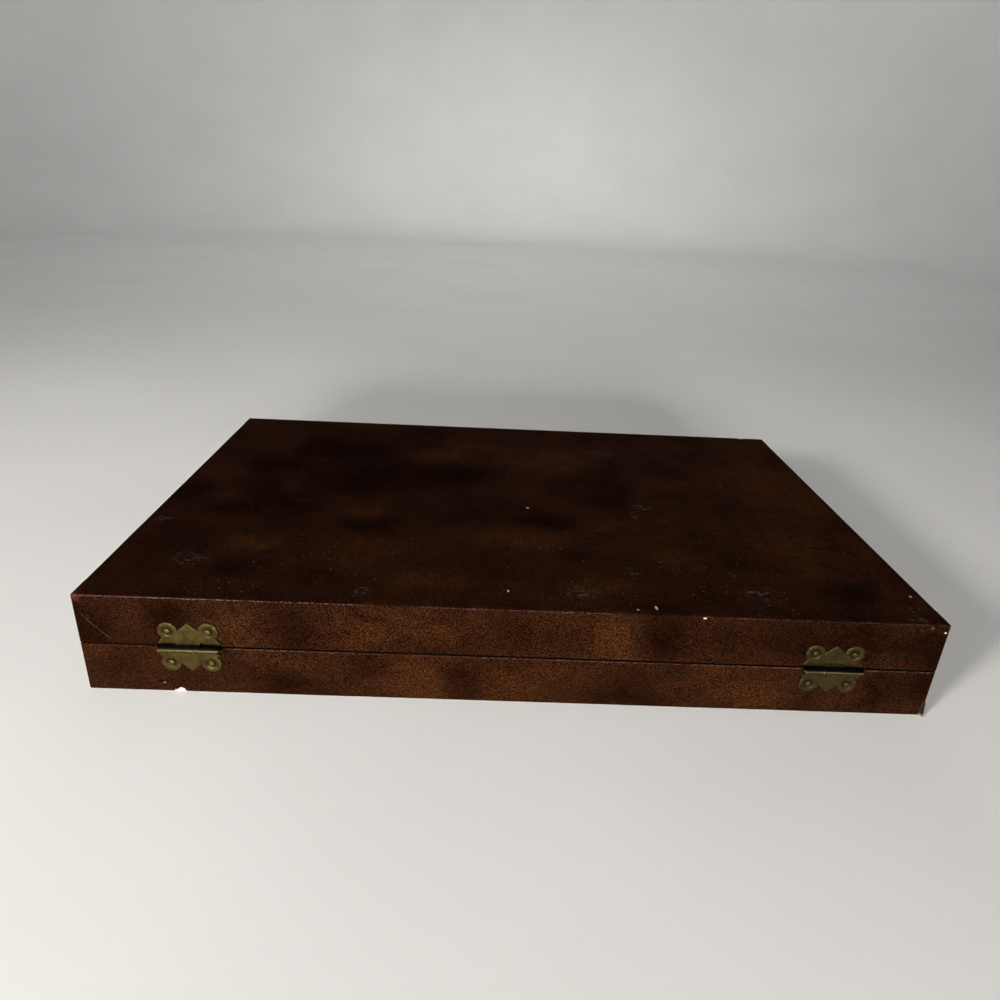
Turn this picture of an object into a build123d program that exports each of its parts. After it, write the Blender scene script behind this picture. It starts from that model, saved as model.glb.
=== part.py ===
from build123d import *
from math import cos, pi, sin
import os

# Folding backgammon board in a leatherette-covered case, closed, with its playing pieces inside.
# X runs along the hinges, -Y is the hinged long side, +Y the latch side, +Z is up.
# The origin is the centre of the base's underside. Sizes are in millimetres.

# Closed case
case_length = 380.0
case_width = 250.0
case_height = 49.0
seam_gap = 0.4  # between the two rims
corner_radius = 2.0  # upright corners of the case
edge_bevel = 0.7  # round the underside and round the top

# Carcass and covering of each half
cover_thickness = 0.8
wall_thickness = 8.0
panel_thickness = 3.0
sheet_inset = 1.6  # from the case's edge to the flat sheet on its large face

# Playing field and its inlaid points
field_thickness = 1.0
inlay_proud = 0.2  # how far the points stand above the field
field_clearance = 0.3
points_per_end = 6
point_length = 150.0
point_gap = 2.4  # between two neighbouring points at their bases
point_margin = 2.0  # from the field's edge to a point's base

# Tray for the playing pieces, along the latch side
tray_width = 31.0
rail_thickness = 5.6
divider_thickness = 5.0
rail_drop = 0.3  # rail and divider below the rim
rail_top_radius = 1.5
joint_clearance = 0.1  # a loose wooden part to the walls beside it

# Playing pieces
checkers_per_side = 15
checker_diameter = 28.5
checker_thickness = 8.0
checker_gap = 0.3
checker_sides = 20
tray_slack = 1.2
rest_clearance = 0.05  # a loose piece above what it lies on
die_size = 12.0
die_chamfer = 0.9
die_spacing = 17.0
die_from_divider = 34.0
pip_radius = 1.1
pip_depth = 0.4
pip_sides = 6
pip_spread = 3.1
doubling_cube_size = 18.0
doubling_cube_chamfer = 1.4
doubling_cube_from_divider = 14.0

# Dice cups, lying on the field beside the hinged wall
cup_height = 58.0
cup_radius = 16.2
cup_wall = 1.8
cup_floor = 2.4
cup_band = 0.8  # how far the bands round the mouth and the foot stand out
cup_band_width = 4.5
cup_wall_clearance = 1.5
cup_from_end = 30.0  # first cup's foot to the left wall
cup_spacing = 110.0

# Hinges, screwed nowhere: each leaf is nailed to the outside of the long wall
hinge_from_end = 48.0  # middle of a hinge to the end of the case
barrel_diameter = 3.6
barrel_length = 26.0
middle_knuckle = 10.0
knuckle_gap = 0.2
barrel_clearance = 0.3  # barrel to the case's wall
pin_diameter = 2.0
pin_clearance = 0.05
pin_overhang = 0.3

# Stamped leaf, measured across and away from its barrel's axis
leaf_thickness = 0.8
leaf_edge = 1.7
leaf_foot = 13.3  # half the width along the barrel
leaf_foot_height = 0.6
leaf_waist = 11.7
leaf_waist_height = 4.4
ear_offset = 8.7
ear_height = 8.1
ear_radius = 4.3
peak_half_width = 4.9
peak_height = 12.4
web_height = 3.0
web_angle = 20.0

# Round-headed nails
nail_head_radius = 1.6
nail_head_rim = 0.3
nail_head_dome = 0.5
nail_dome_slope = 60.0  # from upright, in degrees
nail_shank_radius = 0.65
nail_hole_clearance = 0.1
nail_length = 7.5  # under the head
nail_head_sides = 10
nail_shank_sides = 6
nail_hole_sides = 8

# Latches: a swinging hasp on the base and a stud on the lid
latch_from_end = 48.0
hasp_barrel_length = 18.0
hasp_knuckle = 9.6
hasp_axis_drop = 3.0  # from the base's rim to the hasp's axis
hasp_thickness = 0.8
hasp_half_width = 4.2
hasp_eye_radius = 4.8
hasp_eye_distance = 9.5  # from the axis to the eye's centre
hasp_hole_radius = 2.1
hasp_bead_radius = 1.1
hasp_bead_length = 5.0
hasp_bead_overlap = 0.7
keeper_edge_rise = 0.6  # from the lid's rim to the keeper plate
stud_neck_radius = 1.2
stud_head_radius = 1.6
stud_head_height = 0.9
stud_head_clearance = 0.3  # hasp's outer face to the stud's head

half_height = (case_height - seam_gap) / 2
floor_top = cover_thickness + panel_thickness
wall_height = half_height - floor_top - cover_thickness
carcass_length = case_length - 2 * cover_thickness
carcass_width = case_width - 2 * cover_thickness
cavity_length = carcass_length - 2 * (wall_thickness + cover_thickness)
cavity_width = carcass_width - 2 * (wall_thickness + cover_thickness)
seam_plane = Plane.XY.offset(case_height / 2)

tray_edge = cavity_width / 2 - tray_width
rail_face = tray_edge - rail_thickness
rail_height = half_height - rail_drop - floor_top
field_width = rail_face + cavity_width / 2
point_pitch = field_width / points_per_end
field_top = floor_top + field_thickness
checker_pitch = checker_thickness + checker_gap
divider_face = -cavity_length / 2 + 2 * checkers_per_side * checker_pitch + tray_slack
divider_end = divider_face + divider_thickness

barrel_radius = barrel_diameter / 2
axis_offset = barrel_clearance + barrel_radius
hinge_axis_z = case_height / 2
hasp_axis_z = half_height - hasp_axis_drop
keeper_origin_z = half_height + seam_gap + keeper_edge_rise - leaf_edge
hasp_bead_distance = hasp_eye_distance + hasp_eye_radius + hasp_bead_radius - hasp_bead_overlap

os.makedirs("parts", exist_ok=True)


def keep(piece, node):
    """Labels a finished piece and writes it as one file."""
    piece.label = node
    export_step(piece, f"parts/{node}.step")


def place_half(half):
    """Inside a part's block, turns what was built for the base into the lid's mirror image."""
    if half == "lid":
        mirror(about=seam_plane, mode=Mode.REPLACE)


def build_carcass(half, panel_node, sheet_node):
    """The panel, the four mitred walls, and the covering of one half."""
    with BuildPart() as panel:
        with BuildSketch(Plane.XY.offset(cover_thickness)):
            Rectangle(carcass_length, carcass_width)
        extrude(amount=panel_thickness)
        place_half(half)
    keep(panel.part, panel_node)

    with BuildPart() as sheet:
        with BuildSketch():
            Rectangle(case_length - 2 * sheet_inset, case_width - 2 * sheet_inset)
        extrude(amount=cover_thickness)
        place_half(half)
    keep(sheet.part, sheet_node)

    for side, turn, span, reach in (
        ("hinge", 0, carcass_length, carcass_width),
        ("right", 90, carcass_width, carcass_length),
        ("latch", 180, carcass_length, carcass_width),
        ("left", 270, carcass_width, carcass_length),
    ):
        with BuildPart() as wall:
            with BuildSketch(Plane.XY.offset(floor_top).rotated((0, 0, turn))):
                Polygon(
                    (-span / 2, -reach / 2),
                    (span / 2, -reach / 2),
                    (span / 2 - wall_thickness, -reach / 2 + wall_thickness),
                    (-span / 2 + wall_thickness, -reach / 2 + wall_thickness),
                )
            extrude(amount=wall_height)
            place_half(half)
        keep(wall.part, f"{half}_{side}_wall")

    with BuildPart() as cover:
        with BuildSketch():
            Rectangle(case_length, case_width)
        extrude(amount=half_height)
        fillet(cover.edges().filter_by(Axis.Z), corner_radius)
        chamfer(cover.edges().group_by(Axis.Z)[0], edge_bevel)
        with BuildSketch(Plane.XY.offset(floor_top)):
            Rectangle(cavity_length, cavity_width)
        extrude(amount=half_height - floor_top, mode=Mode.SUBTRACT)
        with BuildSketch():
            Rectangle(case_length - 2 * sheet_inset, case_width - 2 * sheet_inset)
        extrude(amount=cover_thickness, mode=Mode.SUBTRACT)
        with BuildSketch(Plane.XY.offset(cover_thickness)):
            Rectangle(carcass_length, carcass_width)
        extrude(amount=panel_thickness, mode=Mode.SUBTRACT)
        with BuildSketch(Plane.XY.offset(floor_top)):
            Rectangle(carcass_length, carcass_width)
            Rectangle(
                carcass_length - 2 * wall_thickness,
                carcass_width - 2 * wall_thickness,
                mode=Mode.SUBTRACT,
            )
        extrude(amount=wall_height, mode=Mode.SUBTRACT)
        place_half(half)
    keep(cover.part, f"{half}_side_cover")


def point_rows(colour_step):
    """The bases of every second point: its end of the field, and its middle across the field."""
    rows = []
    for end in (-1, 1):
        for count in range(points_per_end):
            if (count + colour_step + (end > 0)) % 2 == 0:
                rows.append((end, -cavity_width / 2 + (count + 0.5) * point_pitch))
    return rows


def sketch_points(rows, mode):
    """Long triangles that run from the ends of the field towards its middle."""
    for end, middle in rows:
        base_x = end * (cavity_length / 2 - point_margin)
        half_base = (point_pitch - point_gap) / 2
        Polygon(
            (base_x, middle - half_base),
            (base_x, middle + half_base),
            (base_x - end * point_length, middle),
            mode=mode,
        )


def build_playing_surface(half, first_dark):
    """The field with its inlaid points, and the tray's rail, divider and lining."""
    with BuildPart() as field:
        with BuildSketch(Plane.XY.offset(floor_top)):
            with Locations((0, (rail_face - cavity_width / 2) / 2)):
                Rectangle(
                    cavity_length - 2 * field_clearance, field_width - 2 * field_clearance
                )
            sketch_points(point_rows(0) + point_rows(1), Mode.SUBTRACT)
        extrude(amount=field_thickness)
        place_half(half)
    keep(field.part, f"{half}_field")

    for colour, step in (("dark", first_dark), ("light", 1 - first_dark)):
        with BuildPart() as points:
            with BuildSketch(Plane.XY.offset(floor_top)):
                sketch_points(point_rows(step), Mode.ADD)
            extrude(amount=field_thickness + inlay_proud)
            place_half(half)
        keep(points.part, f"{half}_points_{colour}")

    with BuildPart() as rail:
        with BuildSketch(Plane.XY.offset(floor_top)):
            with Locations((0, (rail_face + tray_edge) / 2)):
                Rectangle(cavity_length - 2 * joint_clearance, rail_thickness)
        extrude(amount=rail_height)
        fillet(rail.edges().filter_by(Axis.X).group_by(Axis.Z)[-1], rail_top_radius)
        place_half(half)
    keep(rail.part, f"{half}_tray_rail")

    with BuildPart() as divider:
        with BuildSketch(Plane.XY.offset(floor_top)):
            with Locations((divider_face + divider_thickness / 2, tray_edge + tray_width / 2)):
                Rectangle(divider_thickness, tray_width - 2 * joint_clearance)
        extrude(amount=rail_height)
        fillet(divider.edges().filter_by(Axis.Y).group_by(Axis.Z)[-1], rail_top_radius)
        place_half(half)
    keep(divider.part, f"{half}_tray_divider")

    with BuildPart() as lining:
        with BuildSketch(Plane.XY.offset(floor_top)):
            for start, end in (
                (-cavity_length / 2, divider_face),
                (divider_end, cavity_length / 2),
            ):
                with Locations(((start + end) / 2, tray_edge + tray_width / 2)):
                    Rectangle(
                        end - start - 2 * field_clearance, tray_width - 2 * field_clearance
                    )
        extrude(amount=field_thickness)
        place_half(half)
    keep(lining.part, f"{half}_tray_lining")


def barrel_plane(plane, start):
    """The plane across a leaf's barrel, with its local x outwards and its local y along the leaf."""
    return Plane(
        origin=plane.from_local_coords((start, 0, axis_offset)),
        x_dir=plane.z_dir,
        z_dir=-plane.x_dir,
    )


def bore_barrel(plane, length):
    """Cuts the pin's hole through every knuckle of a leaf or hasp."""
    with Locations(barrel_plane(plane, 0).location):
        Cylinder(pin_diameter / 2 + pin_clearance, length, mode=Mode.SUBTRACT)


def build_leaf(plane, knuckles, node):
    """A stamped brass leaf: two round ears, a pointed peak, and the knuckles rolled from its edge."""
    with BuildPart() as leaf:
        with BuildSketch(plane):
            Polygon(
                (-leaf_foot, leaf_edge),
                (leaf_foot, leaf_edge),
                (leaf_foot, leaf_edge + leaf_foot_height),
                (leaf_waist, leaf_waist_height),
                (leaf_waist, ear_height),
                (-leaf_waist, ear_height),
                (-leaf_waist, leaf_waist_height),
                (-leaf_foot, leaf_edge + leaf_foot_height),
            )
            Polygon(
                (-peak_half_width, ear_height),
                (peak_half_width, ear_height),
                (0, peak_height),
            )
            with Locations((-ear_offset, ear_height), (ear_offset, ear_height)):
                Circle(ear_radius)
                RegularPolygon(
                    nail_shank_radius + nail_hole_clearance, nail_hole_sides, mode=Mode.SUBTRACT
                )
        extrude(amount=leaf_thickness)
        for start, end in knuckles:
            rise = (90 - web_angle) * pi / 180
            with BuildSketch(barrel_plane(plane, end)):
                Circle(barrel_radius)
                Polygon(
                    (0, 0),
                    (-axis_offset, leaf_edge / 2),
                    (-axis_offset, web_height),
                    (leaf_thickness - axis_offset, web_height),
                    (barrel_radius * cos(rise), barrel_radius * sin(rise)),
                )
            extrude(amount=end - start)
        if knuckles:
            bore_barrel(plane, leaf_foot * 2)
    keep(leaf.part, node)


def build_pin(plane, length, node):
    """A plain pin through a barrel."""
    with BuildPart() as pin:
        with BuildSketch(barrel_plane(plane, length / 2 + pin_overhang)):
            Circle(pin_diameter / 2)
        extrude(amount=length + 2 * pin_overhang)
    keep(pin.part, node)


def build_nails(planes, node):
    """Round-headed nails through the ears of several leaves."""
    with BuildPart() as nail:
        with BuildSketch():
            RegularPolygon(nail_head_radius, nail_head_sides)
        extrude(amount=nail_head_rim)
        with BuildSketch(Plane.XY.offset(nail_head_rim)):
            RegularPolygon(nail_head_radius, nail_head_sides)
        extrude(amount=nail_head_dome, taper=nail_dome_slope)
        with BuildSketch():
            RegularPolygon(nail_shank_radius, nail_shank_sides)
        extrude(amount=-nail_length)
    with BuildPart() as nails:
        for plane in planes:
            for side in (-1, 1):
                spot = plane.location * Location((side * ear_offset, ear_height, leaf_thickness))
                with Locations(spot):
                    add(nail.part)
    keep(nails.part, node)


def build_hinges():
    """Two hinges on the outside of the hinged wall: the lid's leaf has the middle knuckle."""
    lid_planes = []
    base_planes = []
    outer = barrel_length / 2
    inner = middle_knuckle / 2 + knuckle_gap
    for name, side in (("left", -1), ("right", 1)):
        origin = (side * (case_length / 2 - hinge_from_end), -case_width / 2, hinge_axis_z)
        up = Plane(origin=origin, x_dir=(1, 0, 0), z_dir=(0, -1, 0))
        down = Plane(origin=origin, x_dir=(-1, 0, 0), z_dir=(0, -1, 0))
        build_leaf(up, [(-middle_knuckle / 2, middle_knuckle / 2)], f"hinge_leaf_lid_{name}")
        build_leaf(down, [(-outer, -inner), (inner, outer)], f"hinge_leaf_base_{name}")
        build_pin(down, barrel_length, f"hinge_pin_{name}")
        lid_planes.append(up)
        base_planes.append(down)
    build_nails(lid_planes, "hinge_nails_lid")
    build_nails(base_planes, "hinge_nails_base")


def build_hasp(plane, node):
    """The swinging hasp, hanging from its pin: a strap with a round eye and a rolled tip."""
    middle = plane.offset(axis_offset - hasp_thickness / 2)
    with BuildPart() as hasp:
        with BuildSketch(middle):
            with Locations((0, hasp_eye_distance / 2)):
                Rectangle(2 * hasp_half_width, hasp_eye_distance)
            with Locations((0, hasp_eye_distance)):
                Circle(hasp_eye_radius)
            with Locations((0, (hasp_eye_distance + hasp_bead_distance) / 2)):
                Rectangle(hasp_bead_length, hasp_bead_distance - hasp_eye_distance)
            with Locations((0, hasp_eye_distance)):
                Circle(hasp_hole_radius, mode=Mode.SUBTRACT)
        extrude(amount=hasp_thickness)
        with BuildSketch(barrel_plane(plane, hasp_knuckle / 2)):
            Circle(barrel_radius)
        extrude(amount=hasp_knuckle)
        with BuildSketch(barrel_plane(plane, hasp_bead_length / 2)):
            with Locations((0, hasp_bead_distance)):
                Circle(hasp_bead_radius)
        extrude(amount=hasp_bead_length)
        bore_barrel(plane, hasp_barrel_length)
    keep(hasp.part, node)


def build_latches():
    """Two latches on the latch wall: a hasp hangs from the base, its stud stands on the lid."""
    base_planes = []
    lid_planes = []
    outer = hasp_barrel_length / 2
    inner = hasp_knuckle / 2 + knuckle_gap
    stud_places = []
    for name, side in (("left", -1), ("right", 1)):
        wall_x = side * (case_length / 2 - latch_from_end)
        down = Plane(
            origin=(wall_x, case_width / 2, hasp_axis_z), x_dir=(1, 0, 0), z_dir=(0, 1, 0)
        )
        up = Plane(
            origin=(wall_x, case_width / 2, keeper_origin_z), x_dir=(-1, 0, 0), z_dir=(0, 1, 0)
        )
        build_leaf(down, [(-outer, -inner), (inner, outer)], f"hasp_plate_{name}")
        build_pin(down, hasp_barrel_length, f"hasp_pin_{name}")
        build_hasp(down, f"hasp_{name}")
        build_leaf(up, [], f"keeper_plate_{name}")
        base_planes.append(down)
        lid_planes.append(up)
        stud_places.append((wall_x, case_width / 2, hasp_axis_z + hasp_eye_distance))
    build_nails(base_planes, "latch_nails_base")
    build_nails(lid_planes, "latch_nails_lid")

    head_seat = axis_offset + hasp_thickness / 2 + stud_head_clearance
    with BuildPart() as studs:
        for place in stud_places:
            with BuildSketch(Plane(origin=place, z_dir=(0, 1, 0)).offset(leaf_thickness)):
                Circle(stud_neck_radius)
            extrude(amount=head_seat - leaf_thickness)
            with BuildSketch(Plane(origin=place, z_dir=(0, 1, 0)).offset(head_seat)):
                Circle(stud_head_radius)
            extrude(amount=stud_head_height)
    keep(studs.part, "keeper_studs")


def build_checkers():
    """Thirty checkers on edge in the tray, one colour after the other."""
    row_start = -cavity_length / 2 + tray_slack / 2 + checker_gap / 2
    centre_y = tray_edge + tray_width / 2
    centre_z = field_top + rest_clearance + checker_diameter / 2
    for order, colour in enumerate(("light", "dark")):
        with BuildPart() as checkers:
            for count in range(checkers_per_side):
                face_x = row_start + (order * checkers_per_side + count) * checker_pitch
                with BuildSketch(Plane(origin=(face_x, centre_y, centre_z), z_dir=(1, 0, 0))):
                    RegularPolygon(checker_diameter / 2, checker_sides)
                extrude(amount=checker_thickness)
        keep(checkers.part, f"checkers_{colour}")


def pip_places(number):
    """Where a face's pips lie, from its middle."""
    places = []
    if number % 2:
        places.append((0, 0))
    if number > 1:
        places += [(-pip_spread, -pip_spread), (pip_spread, pip_spread)]
    if number > 3:
        places += [(-pip_spread, pip_spread), (pip_spread, -pip_spread)]
    if number == 6:
        places += [(-pip_spread, 0), (pip_spread, 0)]
    return places


def build_dice():
    """A pair of dice in the tray's short compartment, opposite faces adding up to seven."""
    with BuildPart() as dice:
        for count, (turn, top, front, side) in enumerate(((14, 5, 3, 1), (-22, 4, 1, 5))):
            centre = Location(
                (
                    divider_end + die_from_divider + count * die_spacing,
                    tray_edge + tray_width / 2,
                    field_top + rest_clearance + die_size / 2,
                ),
                (0, 0, turn),
            )
            with BuildPart(mode=Mode.PRIVATE) as die:
                Box(die_size, die_size, die_size)
                chamfer(die.edges(), die_chamfer)
                for number, direction in (
                    (top, (0, 0, 1)),
                    (7 - top, (0, 0, -1)),
                    (front, (0, -1, 0)),
                    (7 - front, (0, 1, 0)),
                    (side, (1, 0, 0)),
                    (7 - side, (-1, 0, 0)),
                ):
                    face_centre = tuple(die_size / 2 * part for part in direction)
                    with BuildSketch(Plane(origin=face_centre, z_dir=direction)):
                        with Locations(pip_places(number)):
                            RegularPolygon(pip_radius, pip_sides)
                    extrude(amount=-pip_depth, mode=Mode.SUBTRACT)
            with Locations(centre):
                add(die.part)
    keep(dice.part, "dice")

    with BuildPart() as cube:
        place = (
            divider_end + doubling_cube_from_divider,
            tray_edge + tray_width / 2,
            field_top + rest_clearance + doubling_cube_size / 2,
        )
        with Locations(Location(place, (0, 0, -6))):
            Box(doubling_cube_size, doubling_cube_size, doubling_cube_size)
        chamfer(cube.edges(), doubling_cube_chamfer)
    keep(cube.part, "doubling_cube")


def build_cups():
    """Two dice cups that lie on the field, each with a band round its mouth and its foot."""
    outside = cup_radius + cup_band
    for count, name in enumerate(("left", "right")):
        origin = (
            -cavity_length / 2 + cup_from_end + count * cup_spacing,
            -cavity_width / 2 + cup_wall_clearance + outside,
            field_top + inlay_proud + rest_clearance + outside,
        )
        lying = Plane(origin=origin, z_dir=(1, 0, 0))
        with BuildPart() as cup:
            with BuildSketch(lying):
                Circle(cup_radius)
            extrude(amount=cup_height)
            with BuildSketch(lying, lying.offset(cup_height - cup_band_width)):
                Circle(outside)
            extrude(amount=cup_band_width)
            with BuildSketch(lying.offset(cup_floor)):
                Circle(cup_radius - cup_wall)
            extrude(amount=cup_height - cup_floor, mode=Mode.SUBTRACT)
        keep(cup.part, f"dice_cup_{name}")


build_carcass("base", "base_floor_panel", "base_underside_sheet")
build_carcass("lid", "lid_top_panel", "lid_top_sheet")
build_playing_surface("base", first_dark=0)
build_playing_surface("lid", first_dark=1)
build_hinges()
build_latches()
build_checkers()
build_dice()
build_cups()
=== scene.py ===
import logging
from dataclasses import dataclass, field
from enum import Enum
from functools import partial, reduce
from math import atan2, cos, degrees, hypot, pi, radians, sin, sqrt
from typing import Callable, Iterable, Mapping, Optional, Sequence, Union

import bmesh
import bpy
import numpy as np
from mathutils import Matrix, Vector, noise
from mathutils.geometry import delaunay_2d_cdt


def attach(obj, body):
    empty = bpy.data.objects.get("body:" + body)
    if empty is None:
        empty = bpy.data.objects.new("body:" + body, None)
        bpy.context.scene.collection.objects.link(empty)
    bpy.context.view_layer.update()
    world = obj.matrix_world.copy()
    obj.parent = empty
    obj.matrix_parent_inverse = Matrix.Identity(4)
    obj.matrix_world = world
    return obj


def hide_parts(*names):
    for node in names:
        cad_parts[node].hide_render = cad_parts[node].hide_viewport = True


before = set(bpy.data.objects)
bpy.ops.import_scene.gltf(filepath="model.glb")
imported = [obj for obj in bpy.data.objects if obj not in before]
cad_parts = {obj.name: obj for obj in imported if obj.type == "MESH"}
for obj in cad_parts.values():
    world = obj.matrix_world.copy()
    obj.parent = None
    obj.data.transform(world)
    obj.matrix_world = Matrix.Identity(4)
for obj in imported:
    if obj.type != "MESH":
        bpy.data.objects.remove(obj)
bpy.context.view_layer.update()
LOG = logging.getLogger("backgammon_board")

MM = 0.001
SAME_SPOT = 1e-7
Material = bpy.types.Material
Mesh = bpy.types.Mesh
NodeTree = bpy.types.NodeTree
Object = bpy.types.Object
Socket = bpy.types.NodeSocket
Value = Union[float, Socket]
Tint = Union[Socket, Sequence[float]]
Colour = tuple[float, float, float]
Point = tuple[float, float, float]
Pair = tuple[float, float]
Solid = tuple[np.ndarray, list[tuple[int, ...]]]

CASE_LENGTH = 380 * MM
CASE_WIDTH = 250 * MM
CASE_HEIGHT = 49 * MM
HINGE_AXIS = 24.5 * MM
HINGE_SPOT = 142 * MM
EAR_OFFSET = 8.7 * MM
EAR_HEIGHT = 8.1 * MM
ALONG_X = (0.08, 1.0, 1.0)
ALONG_Y = (1.0, 0.08, 1.0)


class Half(Enum):
    """The two halves of the case, named as their bodies are."""

    BASE = "base"
    LID = "lid"

    @property
    def panel(self) -> str:
        """The node of the half's large panel."""
        return "lid_top_panel" if self is Half.LID else "base_floor_panel"


class Side(Enum):
    """The two hinges or latches, with their direction along X."""

    LEFT = -1
    RIGHT = 1

    @property
    def word(self) -> str:
        """The side's name inside a node's name."""
        return self.name.lower()


# Working with node trees


def add_node(tree: NodeTree, kind: str, output: Union[int, str],
             inputs: Mapping[Union[int, str], object], **settings: object) -> Socket:
    """Adds a node to a tree.

    Args:
        tree: The tree.
        kind: The node's type name.
        output: The name or index of the output that is passed on.
        inputs: Sockets to link or plain values to set, by the input's name or index.
        settings: The node's properties and their values.

    Returns:
        The output socket.
    """
    node = tree.nodes.new(kind)
    for name, value in settings.items():
        setattr(node, name, value)
    for key, value in inputs.items():
        if isinstance(value, Socket):
            tree.links.new(value, node.inputs[key])
        else:
            node.inputs[key].default_value = value
    return node.outputs[output]


class Graph:
    """One material under construction: its methods add nodes and pass sockets on."""

    def __init__(self, name: str) -> None:
        """Starts a material with a bare shader.

        Args:
            name: The material's name.
        """
        self.material = bpy.data.materials.new(name)
        self.material.use_nodes = True
        self.tree = self.material.node_tree
        self.shader = self.tree.nodes["Principled BSDF"]

    def node(self, kind: str, output: Union[int, str], inputs: Mapping[Union[int, str], object],
             **settings: object) -> Socket:
        """Adds a shader node, its type given without the first word, and returns its output."""
        return add_node(self.tree, f"ShaderNode{kind}", output, inputs, **settings)

    def place(self, stretch: Point = (1, 1, 1), shift: Point = (0, 0, 0)) -> Socket:
        """The piece's own coordinates, stretched and then shifted."""
        own = self.node("TexCoord", "Object", {})
        return self.node("Mapping", "Vector", {"Vector": own, "Location": shift, "Scale": stretch})

    def noise(self, vector: Socket, scale: float, detail: float = 2.0,
              roughness: float = 0.5, distortion: float = 0.0) -> Socket:
        """A cloudy pattern from 0 to 1, its scale in clouds per metre."""
        return self.node("TexNoise", "Fac", {"Vector": vector, "Scale": scale, "Detail": detail,
                                             "Roughness": roughness, "Distortion": distortion})

    def cells(self, vector: Socket, scale: float, feature: str = "F1") -> Socket:
        """The distance pattern of scattered cells, its scale in cells per metre."""
        return self.node("TexVoronoi", "Distance", {"Vector": vector, "Scale": scale},
                         feature=feature)

    def math(self, operation: str, *values: Value) -> Socket:
        """A sum of one to three values."""
        return self.node("Math", 0, dict(enumerate(values)), operation=operation)

    def vector(self, operation: str, *values: object, output: str = "Vector") -> Socket:
        """A sum of one to three vectors."""
        return self.node("VectorMath", output, dict(enumerate(values)), operation=operation)

    def times(self, first: Value, *others: Value) -> Value:
        """The product of several values."""
        return reduce(partial(self.math, "MULTIPLY"), others, first)

    def eased(self, value: Value, share: Value, rest: Value) -> Socket:
        """A value times a share, plus a rest."""
        return self.math("MULTIPLY_ADD", value, share, rest)

    def away(self, value: Value, middle: float) -> Socket:
        """How far a value is from a middle."""
        return self.math("ABSOLUTE", self.math("SUBTRACT", value, middle))

    def weighed(self, *parts: tuple[Socket, float]) -> Value:
        """The sum of several patterns, each times its weight."""
        total = 0.0
        for pattern, weight in parts:
            total = self.eased(pattern, weight, total)
        return total

    def window(self, value: Value, low: float, high: float, bottom: float = 0.0,
               top: float = 1.0) -> Socket:
        """A soft step that leads from bottom at the low level to top at the high one."""
        return self.node("MapRange", "Result", dict(enumerate((value, low, high, bottom, top))),
                         interpolation_type="SMOOTHSTEP", clamp=True)

    def slot(self, value: Value, low: Pair, high: Pair) -> Value:
        """Full between two levels: each pair holds where a side's step starts and ends."""
        return self.times(self.window(value, *low), self.window(value, *high))

    def split(self, vector: Socket) -> tuple[Socket, ...]:
        """The three parts of a vector."""
        return tuple(self.node("SeparateXYZ", part, {0: vector}) for part in range(3))

    def blend(self, factor: Value, first: Tint, second: Tint, mode: str = "MIX") -> Socket:
        """Mixes two colours, the factor being the share of the second."""
        ends = [colour if isinstance(colour, Socket) else (*colour, 1)
                for colour in (first, second)]
        return self.node("Mix", 2, {0: factor, 6: ends[0], 7: ends[1]},
                         data_type="RGBA", blend_type=mode)

    def ramp(self, factor: Value, *stops: tuple[float, Colour]) -> Socket:
        """Turns a value into a colour.

        Args:
            factor: The value.
            stops: Places on the ramp and their colours.

        Returns:
            The colour socket.
        """
        colour = self.node("ValToRGB", "Color", {0: factor})
        elements = colour.node.color_ramp.elements
        while len(elements) < len(stops):
            elements.new(0.5)
        for element, (position, tint) in zip(elements, stops):
            element.position = position
            element.color = (*tint, 1)
        return colour

    def spot(self, vector: Socket, centre: Point, reach: Point, core: float = 0.0) -> Socket:
        """A round patch, 1 in its core, a share of its reach, and fading to 0 outside."""
        share = self.vector("DIVIDE", self.vector("SUBTRACT", vector, centre), reach)
        return self.window(self.vector("LENGTH", share, output="Value"), core, 1.0, 1.0, 0.0)

    def kept(self, name: str) -> Socket:
        """A value that the piece keeps on its own points."""
        return self.node("Attribute", "Fac", {}, attribute_name=name)

    def streak(self, vector: Socket, start: Point, end: Point, width: float) -> Socket:
        """A thin straight line that fades at its sides.

        Args:
            vector: Where it is read.
            start: One end.
            end: The other.
            width: How far it reaches from its middle.

        Returns:
            A socket that is 1 along the line and 0 outside.
        """
        run = Vector(end) - Vector(start)
        offset = self.vector("SUBTRACT", vector, start)
        along = self.vector("DOT_PRODUCT", offset, run / run.length_squared, output="Value")
        share = self.math("MINIMUM", self.math("MAXIMUM", along, 0.0), 1.0)
        reached = self.node("VectorMath", "Vector", {0: run, "Scale": share}, operation="SCALE")
        return self.window(self.vector("DISTANCE", offset, reached, output="Value"), width, 0.0)

    def wobble(self, vector: Socket, scale: float, amount: float) -> Socket:
        """Shifts coordinates by up to an amount, so that what is drawn on them gets ragged."""
        ripple = self.node("TexNoise", "Color", {"Vector": vector, "Scale": scale})
        return self.vector("MULTIPLY_ADD", self.vector("SUBTRACT", ripple, (0.5,) * 3),
                           (2 * amount,) * 3, vector)

    def bump(self, height: Value, distance: float, strength: float = 1.0,
             below: Optional[Socket] = None) -> Socket:
        """A relief with a depth in metres, alone or on a coarser one below it."""
        given = {"Height": height, "Distance": distance, "Strength": strength}
        return self.node("Bump", "Normal", given if below is None else given | {"Normal": below})

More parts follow.
